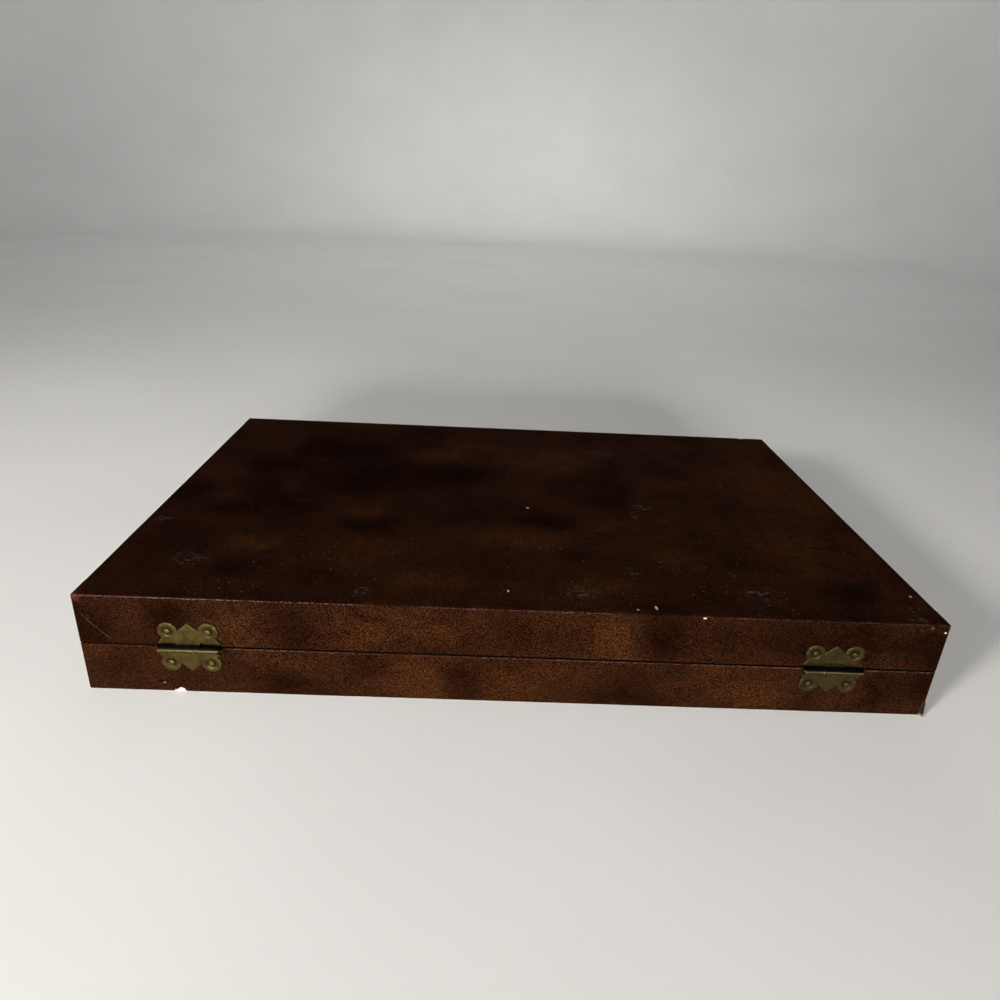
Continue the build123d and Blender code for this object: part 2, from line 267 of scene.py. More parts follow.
    def dress(self, colour: Socket, roughness: Value, normal: Socket,
              **constants: float) -> Material:
        """Feeds the shader and hands the material over.

        Args:
            colour: The base colour.
            roughness: The roughness or its socket.
            normal: The relief.
            constants: Shader sockets that are the same all over, by name with underscores.

        Returns:
            The finished material.
        """
        inputs = self.shader.inputs
        self.tree.links.new(colour, inputs["Base Color"])
        self.tree.links.new(normal, inputs["Normal"])
        if isinstance(roughness, Socket):
            self.tree.links.new(roughness, inputs["Roughness"])
        else:
            inputs["Roughness"].default_value = roughness
        for name, value in constants.items():
            inputs[name.replace("_", " ")].default_value = value
        return self.material


# Finishes


@dataclass(frozen=True)
class Blotch:
    """A smoky patch of the leatherette, a patch of painted sheen, or a mark on it: its place, reach and
    strength.
    """

    centre: Point
    reach: Point
    strength: float = 1.0

    def cover(self, points: np.ndarray) -> np.ndarray:
        """How strongly it shows at each point."""
        away = np.linalg.norm((points - np.array(self.centre)) / np.array(self.reach), axis=1)
        return self.strength * np.clip(1 - away, 0, 1) ** 2 * (3 - 2 * np.clip(1 - away, 0, 1))


@dataclass(frozen=True)
class Weather:
    """What age and handling left on one half: smoky patches, scuffs, chips and scratches; a light patch
    may be painted sheen.
    """

    dark_patches: tuple[Blotch, ...] = ()
    light_patches: tuple[Blotch, ...] = ()
    scuffs: tuple[Blotch, ...] = ()
    chips: tuple[Blotch, ...] = ()
    folds: tuple[Blotch, ...] = ()
    scratches: tuple[tuple[Point, Point], ...] = ()
    depth: float = 0.15

    def write(self, mesh: Mesh) -> None:
        """Keeps patches and scuffs on a mesh's points, where the finish reads them.

        Args:
            mesh: The covering's mesh.
        """
        points = np.empty(len(mesh.vertices) * 3, np.float32)
        mesh.vertices.foreach_get("co", points)
        points = points.reshape(-1, 3).astype(float)
        smoke, rub = np.zeros(len(points)), np.zeros(len(points))
        for sign, patches in ((-1, self.dark_patches), (1, self.light_patches)):
            for patch in patches:
                smoke += sign * self.depth * patch.cover(points)
        for mark in self.scuffs:
            rub = np.maximum(rub, mark.cover(points))
        for name, values in (("smoke", smoke), ("rub", rub)):
            kept = mesh.attributes.new(name, "FLOAT", "POINT")
            kept.data.foreach_set("value", values.astype(np.float32))


@dataclass(frozen=True)
class Leatherette:
    """Pebbled brown leatherette, sprayed with smoky dark and light patches, with a painted sheen on the
    lid's top.

    The patches that the picture shows on the hinged side and the top are kept on the skin's
    points; everywhere else they come from noise. Chips bare the pale backing.
    """

    name: str
    weather: Weather
    drift: Point = (0.0, 0.0, 0.0)
    deep: Colour = (0.0066, 0.0019, 0.0008)
    shade: Colour = (0.0095, 0.0030, 0.0012)
    body: Colour = (0.0203, 0.0069, 0.0029)
    glow: Colour = (0.0355, 0.0116, 0.0039)
    dust: Colour = (0.070, 0.052, 0.044)
    worn: Colour = (0.120, 0.068, 0.062)
    flesh: Colour = (0.060, 0.018, 0.011)
    # The next colour is painted shadow along the seam between the halves
    dirt: Colour = (0.0014, 0.0008, 0.0006)
    backing: Colour = (0.40, 0.36, 0.33)
    grain_scale: float = 1700.0
    speckle_scale: float = 2700.0
    scratch_width: float = 0.28 * MM
    seam: float = 24.7 * MM

    def smoke(self, g: Graph) -> Socket:
        """The smoky brown with its painted sheen: noise, and the patches that are kept on the points.

        Args:
            g: The material under construction.

        Returns:
            The colour.
        """
        here = g.place(shift=self.drift)
        wisps = g.noise(here, 80.0, 4.0, 0.62, 0.9)
        mottle = g.weighed((g.noise(here, 21.0, 3.0, 0.5, 0.4), 0.70), (wisps, 0.30))
        ragged = g.window(wisps, 0.30, 0.70, 0.35, 1.55)
        mottle = g.eased(g.kept("smoke"), ragged, mottle)
        return g.ramp(mottle, (0.12, self.deep), (0.30, self.shade), (0.50, self.body),
                      (0.74, self.glow))

    def grained(self, g: Graph, plain: Socket, colour: Socket, crest: Socket) -> Socket:
        """Paints shade into the creases between the crests and light onto the crests, and speckles the
        whole.

        Args:
            g: The material under construction.
            plain: The piece's own coordinates.
            colour: The colour so far.
            crest: 1 on the grain's crests and 0 in its creases.

        Returns:
            The colour.
        """
        speckle = g.window(g.noise(plain, self.speckle_scale, 0.0), 0.41, 0.59)
        # The crest factor is painted shade in the creases and a painted highlight on the crests
        tone = g.times(g.eased(speckle, 1.25, 0.25), g.eased(crest, 0.8, 0.5))
        grey = g.node("CombineColor", 0, {channel: tone for channel in range(3)})
        return g.blend(1.0, colour, grey, "MULTIPLY")

    def edges(self, g: Graph, plain: Socket, colour: Socket) -> Socket:
        """Rubs the outer edges and the rim along the seam, and paints shadow into the seam.

        Args:
            g: The material under construction.
            plain: The piece's own coordinates.
            colour: The colour so far.

        Returns:
            The colour.
        """
        x, y, z = g.split(plain)
        from_side = g.math("SUBTRACT", CASE_LENGTH / 2, g.math("ABSOLUTE", x))
        from_front = g.math("SUBTRACT", CASE_WIDTH / 2, g.math("ABSOLUTE", y))
        inset = g.math("MINIMUM", from_side, from_front)
        below = g.math("MINIMUM", g.math("SUBTRACT", CASE_HEIGHT, z), z)
        line = g.window(g.math("MAXIMUM", inset, below), 0.62 * MM, 0.34 * MM)
        broken = g.window(g.noise(plain, 900.0, 2.0, 0.7), 0.42, 0.60)
        stretches = g.window(g.noise(plain, 26.0, 1.0, 0.5), 0.30, 0.50)
        patchy = g.times(broken, stretches)
        left_end = g.window(x, -110 * MM, -140 * MM, 0.0, 0.3)
        left_wear = g.window(x, 150 * MM, -120 * MM, 0.30, 1.0)
        rubbed = g.times(line, g.math("ADD", patchy, left_end), left_wear, 0.65)
        colour = g.blend(rubbed, colour, self.worn)
        rim = g.slot(z, (23.45 * MM, 23.75 * MM), (24.2 * MM, 23.9 * MM))
        colour = g.blend(g.times(rim, patchy, 0.40), colour, self.worn)
        # Painted shadow darkens both rims of the seam, where the gap between the halves lies in shade
        seam = g.window(g.away(z, self.seam), 0.64 * MM, 0.36 * MM)
        thin = g.window(x, -165 * MM, -135 * MM, 0.60, 0.95)
        return g.blend(g.times(seam, thin), colour, self.dirt)

    def handled(self, g: Graph, plain: Socket, colour: Socket) -> Socket:
        """Scuffs that take the colour off the crests, and dust on the near part of the top.

        Args:
            g: The material under construction.
            plain: The piece's own coordinates.
            colour: The colour so far.

        Returns:
            The colour.
        """
        streaks = g.window(g.noise(g.place((1, 1.7, 1)), 380.0, 4.0, 0.75), 0.50, 0.66)
        colour = g.blend(g.times(g.kept("rub"), streaks), colour, self.dust)
        _, y, z = g.split(plain)
        specks = g.window(g.cells(g.wobble(plain, 300.0, 1 * MM), 210.0), 0.13, 0.07)
        specks = g.times(specks, g.window(g.noise(plain, 14.0, 1.0), 0.42, 0.60))
        near = g.window(y, 30 * MM, -100 * MM, 0.12, 1.0)
        upward = g.window(z, 48.4 * MM, 48.8 * MM)
        return g.blend(g.times(specks, near, upward, 0.75), colour, self.dust)

    def material(self) -> Material:
        """Builds the node tree."""
        g = Graph(self.name)
        plain = g.place()
        pebble = g.cells(g.wobble(plain, 700.0, 0.22 * MM), self.grain_scale)
        crest = g.window(pebble, 0.72, 0.12)
        fine = g.noise(plain, 3400.0, 2.0, 0.6)
        relief = g.eased(fine, 0.3, crest)
        colour = self.grained(g, plain, self.smoke(g), crest)
        colour = self.handled(g, plain, self.edges(g, plain, colour))
        torn = g.wobble(plain, 1300.0, 0.5 * MM)
        for mark in self.weather.folds:
            folded = g.times(g.spot(torn, mark.centre, mark.reach, 0.3), mark.strength)
            colour = g.blend(folded, colour, self.flesh)
        for start, end in self.weather.scratches:
            line = g.streak(torn, start, end, self.scratch_width)
            colour = g.blend(g.times(line, 0.6), colour, self.dust)
        for mark in self.weather.chips:
            hole = g.times(g.spot(torn, mark.centre, mark.reach, 0.72), mark.strength)
            colour = g.blend(hole, colour, self.backing)
            relief = g.eased(hole, -0.8, relief)
        waves = g.bump(g.noise(plain, 45.0, 2.0, 0.5), 1.6 * MM, 0.25)
        return g.dress(colour, g.eased(fine, 0.16, 0.58), g.bump(relief, 0.22 * MM, 0.9, waves),
                       Specular_IOR_Level=0.0015)


@dataclass(frozen=True)
class AgedBrass:
    """Thin stamped brass gone olive, darker in its hollows and rubbed on its crests."""

    name: str
    clean: Colour = (0.067, 0.048, 0.0122)
    aged: Colour = (0.033, 0.0232, 0.0050)
    tarnish: Colour = (0.012, 0.0088, 0.0034)
    # The next colour is painted shade for the upper half of the hinges' barrels
    grime: Colour = (0.0012, 0.0009, 0.0007)
    # The next colour is a painted highlight along the hinges' barrels
    bright: Colour = (0.115, 0.092, 0.050)
    metal: float = 0.85

    def hinge_dirt(self, g: Graph, here: Socket, freckle: Socket, colour: Socket) -> Socket:
        """Dulls the right hinge, and paints shade and a highlight on the hinges' barrels and shade round
        the nail heads.

        Args:
            g: The material under construction.
            here: The piece's own coordinates.
            freckle: A fine noise.
            colour: The colour so far.

        Returns:
            The colour.
        """
        x, y, z = g.split(here)
        hinged = g.window(y, -124.9 * MM, -125.0 * MM)
        colour = g.blend(g.times(g.window(x, 0.0, 0.1, 0.0, 0.45), hinged), colour, self.tarnish)
        # Painted shade on the upper half of the barrels, above their lit lower half
        upper = g.slot(z, (25.00 * MM, 25.35 * MM), (27.00 * MM, 26.75 * MM))
        rolled = g.window(y, -125.90 * MM, -126.05 * MM)
        colour = g.blend(g.times(upper, rolled, 0.97), colour, self.grime)
        # Painted highlight along the lower half of the barrels, broken by noise
        crest = g.slot(z, (24.40 * MM, 24.65 * MM), (25.10 * MM, 24.90 * MM))
        crest = g.times(crest, g.window(y, -125.95 * MM, -126.15 * MM),
                        g.window(freckle, 0.40, 0.60, 0.15, 0.6))
        colour = g.blend(crest, colour, self.bright)
        # Painted shade in the dimples round the nail heads, most at the right hinge
        beside = g.math("SUBTRACT", g.away(g.math("ABSOLUTE", x), HINGE_SPOT), EAR_OFFSET)
        above = g.math("SUBTRACT", g.away(z, HINGE_AXIS), EAR_HEIGHT)
        reach = g.math("SQRT", g.eased(beside, beside, g.times(above, above)))
        ring = g.slot(reach, (1.3 * MM, 1.7 * MM), (2.6 * MM, 2.1 * MM))
        ring = g.times(ring, g.window(x, 0.0, 0.1, 0.55, 0.9), hinged)
        return g.blend(ring, colour, self.tarnish)

    def material(self) -> Material:
        """Builds the node tree."""
        g = Graph(self.name)
        here = g.place()
        freckle = g.noise(here, 2300.0, 3.0, 0.65)
        mixed = g.weighed((g.noise(here, 330.0, 4.0, 0.6, 0.5), 0.65), (freckle, 0.35))
        colour = g.ramp(mixed, (0.34, self.tarnish), (0.47, self.aged), (0.66, self.clean))
        hollow = g.node("NewGeometry", "Pointiness", {})
        colour = g.blend(g.times(g.window(hollow, 0.50, 0.56), 0.55), colour, self.clean)
        colour = g.blend(g.times(g.window(hollow, 0.495, 0.445), 0.85), colour, self.tarnish)
        colour = self.hinge_dirt(g, here, freckle, colour)
        scratches = g.noise(g.place((1, 1, 7)), 900.0, 3.0, 0.7)
        normal = g.bump(g.eased(scratches, 0.5, freckle), 0.03 * MM, 0.5)
        return g.dress(colour, g.eased(mixed, -0.25, 0.62), normal,
                       Metallic=self.metal, Specular_IOR_Level=0.15)


@dataclass(frozen=True)
class TornSkin:
    """Loose leatherette, brown outside and pale where it has torn."""

    name: str = "torn_leatherette"
    brown: Colour = (0.0075, 0.0034, 0.0022)
    pale: Colour = (0.11, 0.072, 0.064)

    def material(self) -> Material:
        """Builds the node tree."""
        g = Graph(self.name)
        here = g.place()
        _, _, z = g.split(g.wobble(here, 900.0, 1.2 * MM))
        threads = g.noise(here, 2600.0, 3.0, 0.7)
        colour = g.blend(g.window(z, 1.9 * MM, 0.8 * MM), self.brown, self.pale)
        colour = g.blend(g.window(threads, 0.55, 0.70, 0.0, 0.14), colour, self.pale)
        return g.dress(colour, 0.7, g.bump(threads, 0.15 * MM, 0.8), Specular_IOR_Level=0.1)


@dataclass(frozen=True)
class Wood:
    """Plain wood with its grain along one axis, raw or lacquered."""

    name: str
    pale: Colour = (0.42, 0.27, 0.14)
    deep: Colour = (0.22, 0.12, 0.055)
    grain_along: Point = ALONG_X
    gloss: float = 0.0

    def material(self) -> Material:
        """Builds the node tree."""
        g = Graph(self.name)
        rings = g.noise(g.place(self.grain_along), 95.0, 3.0, 0.6, 1.2)
        pores = g.noise(g.place(tuple(part * 0.6 for part in self.grain_along)), 1500.0, 2.0, 0.7)
        mixed = g.weighed((rings, 0.7), (pores, 0.3))
        colour = g.ramp(mixed, (0.34, self.deep), (0.66, self.pale))
        colour = g.blend(g.times(g.window(pores, 0.62, 0.72), 0.35), colour, self.deep)
        roughness = g.eased(pores, 0.2, 0.55 - 0.3 * self.gloss)
        return g.dress(colour, roughness, g.bump(mixed, 0.08 * MM, 0.4),
                       Coat_Weight=self.gloss, Coat_Roughness=0.12)


@dataclass(frozen=True)
class Hardboard:
    """Pressed brown fibreboard."""

    name: str = "hardboard"

    def material(self) -> Material:
        """Builds the node tree."""
        g = Graph(self.name)
        fibres = g.noise(g.place((1, 0.35, 1)), 1400.0, 4.0, 0.7, 1.5)
        mixed = g.weighed((fibres, 0.6), (g.noise(g.place(), 60.0, 2.0, 0.5), 0.4))
        colour = g.ramp(mixed, (0.3, (0.10, 0.055, 0.028)), (0.7, (0.24, 0.145, 0.080)))
        return g.dress(colour, 0.7, g.bump(fibres, 0.1 * MM, 0.6))


@dataclass(frozen=True)
class TwoTone:
    """A finish that runs between a deep and a bright colour."""

    name: str
    deep: Colour
    bright: Colour


@dataclass(frozen=True)
class Felt(TwoTone):
    """Short dense felt, its fibres matted in every direction."""

    def material(self) -> Material:
        """Builds the node tree."""
        g = Graph(self.name)
        here = g.place()
        fibres = g.noise(g.wobble(here, 500.0, 1.6 * MM), 2600.0, 4.0, 0.75, 2.2)
        tufts = g.noise(here, 420.0, 3.0, 0.6, 0.6)
        mixed = g.weighed((g.noise(here, 24.0, 2.0, 0.5), 0.2), (tufts, 0.3), (fibres, 0.5))
        colour = g.ramp(mixed, (0.33, self.deep), (0.67, self.bright))
        lint = g.noise(g.wobble(here, 900.0, 0.5 * MM), 1900.0, 1.0, 0.5, 4.0)
        colour = g.blend(g.times(g.window(lint, 0.70, 0.76), 0.25), colour, (0.45, 0.42, 0.36))
        normal = g.bump(fibres, 0.25 * MM, 0.8, g.bump(tufts, 0.4 * MM, 0.4))
        return g.dress(colour, 0.95, normal, Sheen_Weight=0.35, Sheen_Roughness=0.5,
                       Specular_IOR_Level=0.12)


@dataclass(frozen=True)
class Hide(TwoTone):
    """Fine-grained leather for inlays and cups."""

    grain: float = 1500.0

    def material(self) -> Material:
        """Builds the node tree."""
        g = Graph(self.name)
        here = g.place()
        pebble = g.window(g.cells(g.wobble(here, 600.0, 0.3 * MM), self.grain), 0.75, 0.15)
        creases = g.cells(g.wobble(here, 150.0, 2 * MM), 260.0, "DISTANCE_TO_EDGE")
        creases = g.window(creases, 0.0, 0.07)
        cloud = g.noise(here, 40.0, 3.0, 0.55, 0.5)
        colour = g.ramp(g.weighed((cloud, 0.65), (pebble, 0.35)),
                        (0.30, self.deep), (0.72, self.bright))
        colour = g.blend(g.eased(creases, -0.25, 0.25), colour, self.deep)
        normal = g.bump(pebble, 0.12 * MM, 0.6, g.bump(creases, 0.15 * MM, 0.4))
        return g.dress(colour, g.eased(cloud, 0.2, 0.42), normal, Specular_IOR_Level=0.4)


@dataclass(frozen=True)
class CastResin(TwoTone):
    """Swirled cast resin, as checkers and dice are made of."""

    swirl: float = 55.0
    clear: float = 0.0

    def material(self) -> Material:
        """Builds the node tree."""
        g = Graph(self.name)
        here = g.place()
        mixed = g.weighed((g.noise(here, self.swirl * 4, 3.0, 0.6, 1.0), 0.25),
                          (g.noise(here, self.swirl, 4.0, 0.55, 2.5), 0.75))
        colour = g.ramp(mixed, (0.32, self.deep), (0.62, self.bright))
        marks = g.noise(here, 1300.0, 3.0, 0.6)
        return g.dress(colour, g.eased(marks, 0.22, 0.14), g.bump(marks, 0.02 * MM, 0.4),
                       Coat_Weight=0.25, Coat_Roughness=0.15, Subsurface_Weight=self.clear,
                       Subsurface_Scale=0.003)


@dataclass(frozen=True)
class Thread(TwoTone):
    """Twisted sewing thread."""

    def material(self) -> Material:
        """Builds the node tree."""
        g = Graph(self.name)
        twist = g.noise(g.wobble(g.place(), 2500.0, 0.2 * MM), 5200.0, 2.0, 0.6, 1.0)
        colour = g.ramp(twist, (0.35, self.deep), (0.65, self.bright))
        return g.dress(colour, 0.7, g.bump(twist, 0.06 * MM, 0.7), Sheen_Weight=0.2)


@dataclass(frozen=True)
class Paint:
    """Thick glossy paint in pips and numbers."""

    name: str
    colour: Colour

    def material(self) -> Material:
        """Builds the node tree."""
        g = Graph(self.name)
        pooled = g.noise(g.place(), 700.0, 3.0, 0.6)
        lighter = tuple(part * 1.8 + 0.004 for part in self.colour)
        colour = g.ramp(pooled, (0.3, self.colour), (0.75, lighter))
        return g.dress(colour, g.eased(pooled, 0.25, 0.22), g.bump(pooled, 0.02 * MM, 0.5))


# Mesh making


def linked(name: str, data: bpy.types.ID) -> Object:
    """Puts a mesh, curve, lamp or camera into the scene.

    Args:
        name: The object's name.
        data: What it shows.

    Returns:
        The object, at the origin.
    """
    made = bpy.data.objects.new(name, data)
    bpy.context.scene.collection.objects.link(made)
    return made


def raw_mesh(name: str, points: Iterable[Point], faces: Iterable[Sequence[int]] = ()) -> Mesh:
    """Makes a mesh of points and faces just as they are given.

    Args:
        name: The mesh's name.
        points: Its vertices, in metres.
        faces: Its faces, as indices into the points.

    Returns:
        The mesh.
    """
    mesh = bpy.data.meshes.new(name)
    mesh.from_pydata([tuple(point) for point in points], [], [tuple(face) for face in faces])
    return mesh


def cleaned(mesh: Mesh, crisp: float = 40.0) -> Mesh:
    """Merges a mesh's double points, turns its faces outwards and smooths it.

    Args:
        mesh: The mesh.
        crisp: Edges sharper than this many degrees stay crisp.

    Returns:
        The same mesh.
    """
    build = bmesh.new()
    build.from_mesh(mesh)
    bmesh.ops.remove_doubles(build, verts=build.verts, dist=SAME_SPOT)
    bmesh.ops.dissolve_degenerate(build, dist=SAME_SPOT, edges=build.edges)
    bmesh.ops.recalc_face_normals(build, faces=build.faces)
    for face in build.faces:
        face.smooth = True
    for edge in build.edges:
        if len(edge.link_faces) == 2:
            edge.smooth = degrees(edge.calc_face_angle(0.0)) < crisp
    build.to_mesh(mesh)
    build.free()
    return mesh


def baked(source: Object, name: str) -> Mesh:
    """Turns an object with its modifiers into a plain mesh and removes the object.

    Args:
        source: The object.
        name: The new mesh's name.

    Returns:
        The mesh.
    """
    bpy.context.view_layer.update()
    graph = bpy.context.evaluated_depsgraph_get()
    mesh = bpy.data.meshes.new_from_object(source.evaluated_get(graph), depsgraph=graph)
    mesh.name = name
    bpy.data.objects.remove(source)
    return mesh


def thickened(name: str, sheet: Mesh, thickness: float) -> Mesh:
    """Gives a sheet its thickness, on the side away from its normals.

    Args:
        name: The new mesh's name.
        sheet: The sheet.
        thickness: How thick it gets.

    Returns:
        The mesh.
    """
    carrier = linked(name, sheet)
    carrier.modifiers.new("thickness", "SOLIDIFY").thickness = thickness
    return baked(carrier, name)


def fit(name: str, shape: Union[Mesh, Solid], finish: Material, body: str, slot: str,
        *nodes: str, crisp: float = 40.0) -> Object:
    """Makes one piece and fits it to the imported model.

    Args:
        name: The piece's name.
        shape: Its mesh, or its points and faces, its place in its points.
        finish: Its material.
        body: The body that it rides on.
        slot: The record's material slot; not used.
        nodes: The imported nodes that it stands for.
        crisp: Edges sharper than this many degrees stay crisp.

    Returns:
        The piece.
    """
    mesh = shape if isinstance(shape, Mesh) else raw_mesh(name, *shape)
    cleaned(mesh, crisp).materials.clear()
    mesh.materials.append(finish)
    piece = linked(name, mesh)
    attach(piece, body)
    if nodes:
        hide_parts(*nodes)
    LOG.info("%s on %s: %d faces", name, body, len(mesh.polygons))
    return piece


def repaint(node: str, material: Material) -> None:
    """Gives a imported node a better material.

    Args:
        node: The node's name.
        material: Its new finish.
    """
    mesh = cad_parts[node].data
    mesh.materials.clear()
    mesh.materials.append(material)
    LOG.info("%s keeps its packed shape in %s", node, material.name)


def band(rows: int, columns: int, closed: bool = True, first: int = 0) -> list[tuple[int, ...]]:
    """Lays faces with four corners between the rows of a grid of points.

    Args:
        rows: How many rows of points there are.
        columns: How many points each row has.
        closed: Whether a row's last point joins its first.
        first: The index of the grid's first point.

    Returns:
        The faces.
    """
    faces = []
    for low in range(first, first + (rows - 1) * columns, columns):
        high = low + columns
        for column in range(columns if closed else columns - 1):
            after = (column + 1) % columns
            faces.append((low + column, low + after, high + after, high + column))
    return faces


def joined(parts: Iterable[Solid]) -> Solid:
    """Puts several solids into one.

    Args:
        parts: Points and faces of each.

    Returns:
        The points and faces of all.
    """
    points, faces, count = [], [], 0
    for part_points, part_faces in parts:
        points.append(np.asarray(part_points, float))
        faces += [tuple(index + count for index in face) for face in part_faces]
        count += len(part_points)
    return np.vstack(points), faces


def seated(solid: Solid, seat: Matrix) -> Solid:
    """Moves a solid from its own axes to its place on the case."""
    turned = np.array(seat.to_3x3()) @ np.asarray(solid[0], float).T
    return turned.T + np.array(seat.translation), solid[1]


def seat_at(origin: Point, along: Point, outward: Point) -> Matrix:
    """A place on the case, from its origin and the directions of local x and local z."""
    rows = (along, Vector(outward).cross(Vector(along)), outward)
    return Matrix.Translation(origin) @ Matrix(rows).transposed().to_4x4()


def lying_at(place: Point, spin: float = 0.0) -> Matrix:
    """A place whose local z lies along the case, after a spin about it in radians."""
    return Matrix.Translation(place) @ Matrix.Rotation(pi / 2, 4, "Y") @ Matrix.Rotation(spin, 4, "Z")


def quarter(steps: int) -> list[float]:
    """Angles from 0 to a right angle, in equal steps."""
    return [pi / 2 * step / steps for step in range(steps + 1)]


def circle(x: float, y: float, radius: float, steps: int) -> list[Pair]:
    """Points round a circle, or its middle alone for a radius of 0."""
    angles = [2 * pi * step / steps for step in range(steps)] if radius else [0.0]
    return [(x + radius * cos(angle), y + radius * sin(angle)) for angle in angles]


def turned_solid(profile: Sequence[Pair], steps: int) -> Solid:
    """Spins a profile of radii and heights round local z."""
    angles = [2 * pi * step / steps for step in range(steps)]
    return (np.array([(radius * cos(angle), radius * sin(angle), height)
                      for radius, height in profile for angle in angles]), band(len(profile), steps))


# The case


@dataclass
class Covering:
    """The leatherette skin of one half: walls outside and in, rim, and large face."""

    half: Half
    finish: Leatherette
    length: float = CASE_LENGTH
    width: float = CASE_WIDTH
    half_height: float = 24.3 * MM
    corner: float = 1.1 * MM
    edge: float = 0.5 * MM
    sheet_inset: float = 0.95 * MM
    sheet_bevel: float = 0.1 * MM
    sheet_step: float = 0.14 * MM
    rim: float = 0.45 * MM
    wall: float = 9.6 * MM
    floor: float = 3.8 * MM
    thickness: float = 0.7 * MM
    cell: float = 2.5 * MM
    side_rows: int = 12
    edge_steps: int = 6
    rim_steps: int = 4
    inner_rows: int = 6
    corner_steps: int = 5
    lap_width: float = 13.0 * MM
    lap_run: float = 0.25 * MM
    lap_step: float = 0.16 * MM
    sag: float = 0.09 * MM
    waves: float = 38.0
    clear_rows: int = 3

    def profile(self) -> list[Pair]:
        """Inset and height, from the flat of the large face out, up the wall and back in."""
        edge, rim, top = self.edge, self.rim, self.half_height
        start, end = self.sheet_step + edge, top - rim
        line = [(self.corner, 0.0), (self.sheet_inset, 0.0),
                (self.sheet_inset - self.sheet_bevel, self.sheet_step)]
        line += [(edge - edge * sin(angle), start - edge * cos(angle))
                 for angle in quarter(self.edge_steps)]
        line += [(0.0, start + (end - start) * row / self.side_rows)
                 for row in range(1, self.side_rows)]
        line += [(rim - rim * cos(angle), end + rim * sin(angle)) for angle in quarter(self.rim_steps)]
        line.append((self.wall / 2, top))
        line += [(self.wall - rim + rim * sin(angle), end + rim * cos(angle))
                 for angle in quarter(self.rim_steps)]
        return line + [(self.wall, end + (self.floor - end) * row / self.inner_rows)
                       for row in range(1, self.inner_rows + 1)]

    def stations(self, span: float, lapped: bool) -> list[float]:
        """Places along one straight side, closer together at the laps.

        Args:
            span: The side's length.
            lapped: Whether the covering laps near the side's ends.

        Returns:
            The places, from the side's middle.
        """
        reach = span / 2 - self.corner
        count = round(2 * reach / self.cell)
        places = [-reach + 2 * reach * step / count for step in range(count + 1)]
        if lapped:
            lap = span / 2 - self.lap_width
            places = [place for place in places if abs(abs(place) - lap) > self.cell / 3]
            places += [sign * (lap + shift) for sign in (-1, 1) for shift in (0, self.lap_run)]
        return sorted(places)

    def path(self) -> list[tuple[float, ...]]:
        """Corner-inset place, outward direction, and lap step of every column round the case."""
        sides = ((self.stations(self.length, False), self.width / 2 - self.corner),
                 (self.stations(self.width, True), self.length / 2 - self.corner))
        lap = self.width / 2 - self.lap_width
        columns = []
        for wall in range(4):
            places, away = sides[wall % 2]
            turn = wall * pi / 2 - pi / 2
            out_x, out_y = cos(turn), sin(turn)
            for place in places:
                dropped = self.lap_step if wall % 2 and abs(place) < lap + self.lap_run / 2 else 0.0
                columns.append((out_x * away - out_y * place, out_y * away + out_x * place,
                                out_x, out_y, dropped))
            for angle in quarter(self.corner_steps)[1:-1]:
                columns.append((*columns[-1][:2], cos(turn + angle), sin(turn + angle), 0.0))
        return columns

    def sunk(self, x: float, y: float, z: float) -> float:
        """How far the skin sags inwards at a place, never outwards."""
        spot = (x * self.waves, y * self.waves, z * self.waves + (7 if self.half is Half.LID else 0))
        return self.sag * (0.5 + 0.5 * max(-1.0, min(1.0, noise.noise(Vector(spot)) * 1.6)))

    def point(self, row: int, inset: float, height: float, column: tuple[float, ...]) -> Point:
        """One point of the skin.

        Args:
            row: Which step of the profile it is on.
            inset: That step's inset.
            height: Its height.
            column: The column of the path.

        Returns:
            The point, for a half that lies on its large face.
        """
        x, y, out_x, out_y, dropped = column
        if inset > self.corner:
            # Past the corner's radius the path closes up squarely
            x, y = (max(inset - span / 2, min(span / 2 - inset, place))
                    for place, span in ((x, self.length), (y, self.width)))
        else:
            x, y = x + out_x * (self.corner - inset), y + out_y * (self.corner - inset)
        if inset < self.sheet_inset and row >= self.clear_rows:
            drop = self.sunk(x, y, height) + dropped
            x, y = x - out_x * drop, y - out_y * drop
        return x, y, height

    def flat(self) -> list[Point]:
        """The large face's grid, which meets the wall columns point for point."""
        xs, ys = self.stations(self.length, False), self.stations(self.width, True)
        return [(x, y, 0.0 if x in (xs[0], xs[-1]) or y in (ys[0], ys[-1]) else self.sunk(x, y, 0.0))
                for y in ys for x in xs]

    def build(self) -> None:
        """Builds the skin's points and faces, and places it."""
        profile, columns = self.profile(), self.path()
        points = [self.point(row, *step, column)
                  for row, step in enumerate(profile) for column in columns]
        across, deep = len(self.stations(self.length, False)), len(self.stations(self.width, True))
        faces = band(len(profile), len(columns)) + band(deep, across, False, len(points))
        self.place(raw_mesh("skin", points + self.flat(), faces))

    def place(self, mesh: Mesh) -> None:
        """Merges the skin, turns the lid's over, gives it its thickness and fits it.

        Args:
            mesh: The skin as it is built, lying on its large face.
        """
        lid = self.half is Half.LID
        level, facing = (CASE_HEIGHT, 1) if lid else (0.0, -1)
        build = bmesh.new()
        build.from_mesh(mesh)
        bmesh.ops.remove_doubles(build, verts=build.verts, dist=0.002 * MM)
        for vert in build.verts:
            vert.co.z = level - facing * vert.co.z
        bmesh.ops.recalc_face_normals(build, faces=build.faces)
        # The skin is open at the cavity, so the sense of its normals is read off the large face
        middle = Vector((0.0, 0.0, level))
        large = min(build.faces, key=lambda face: (face.calc_center_median() - middle).length)
        if large.normal.z * facing < 0:
            bmesh.ops.reverse_faces(build, faces=build.faces)
        build.to_mesh(mesh)
        build.free()
        word = self.half.value
        skin = fit(f"{word}_covering", thickened("skin", mesh, self.thickness),
                   self.finish.material(), word, "leatherette", f"{word}_side_cover",
                   "lid_top_sheet" if lid else "base_underside_sheet", crisp=35.0)
        self.finish.weather.write(skin.data)


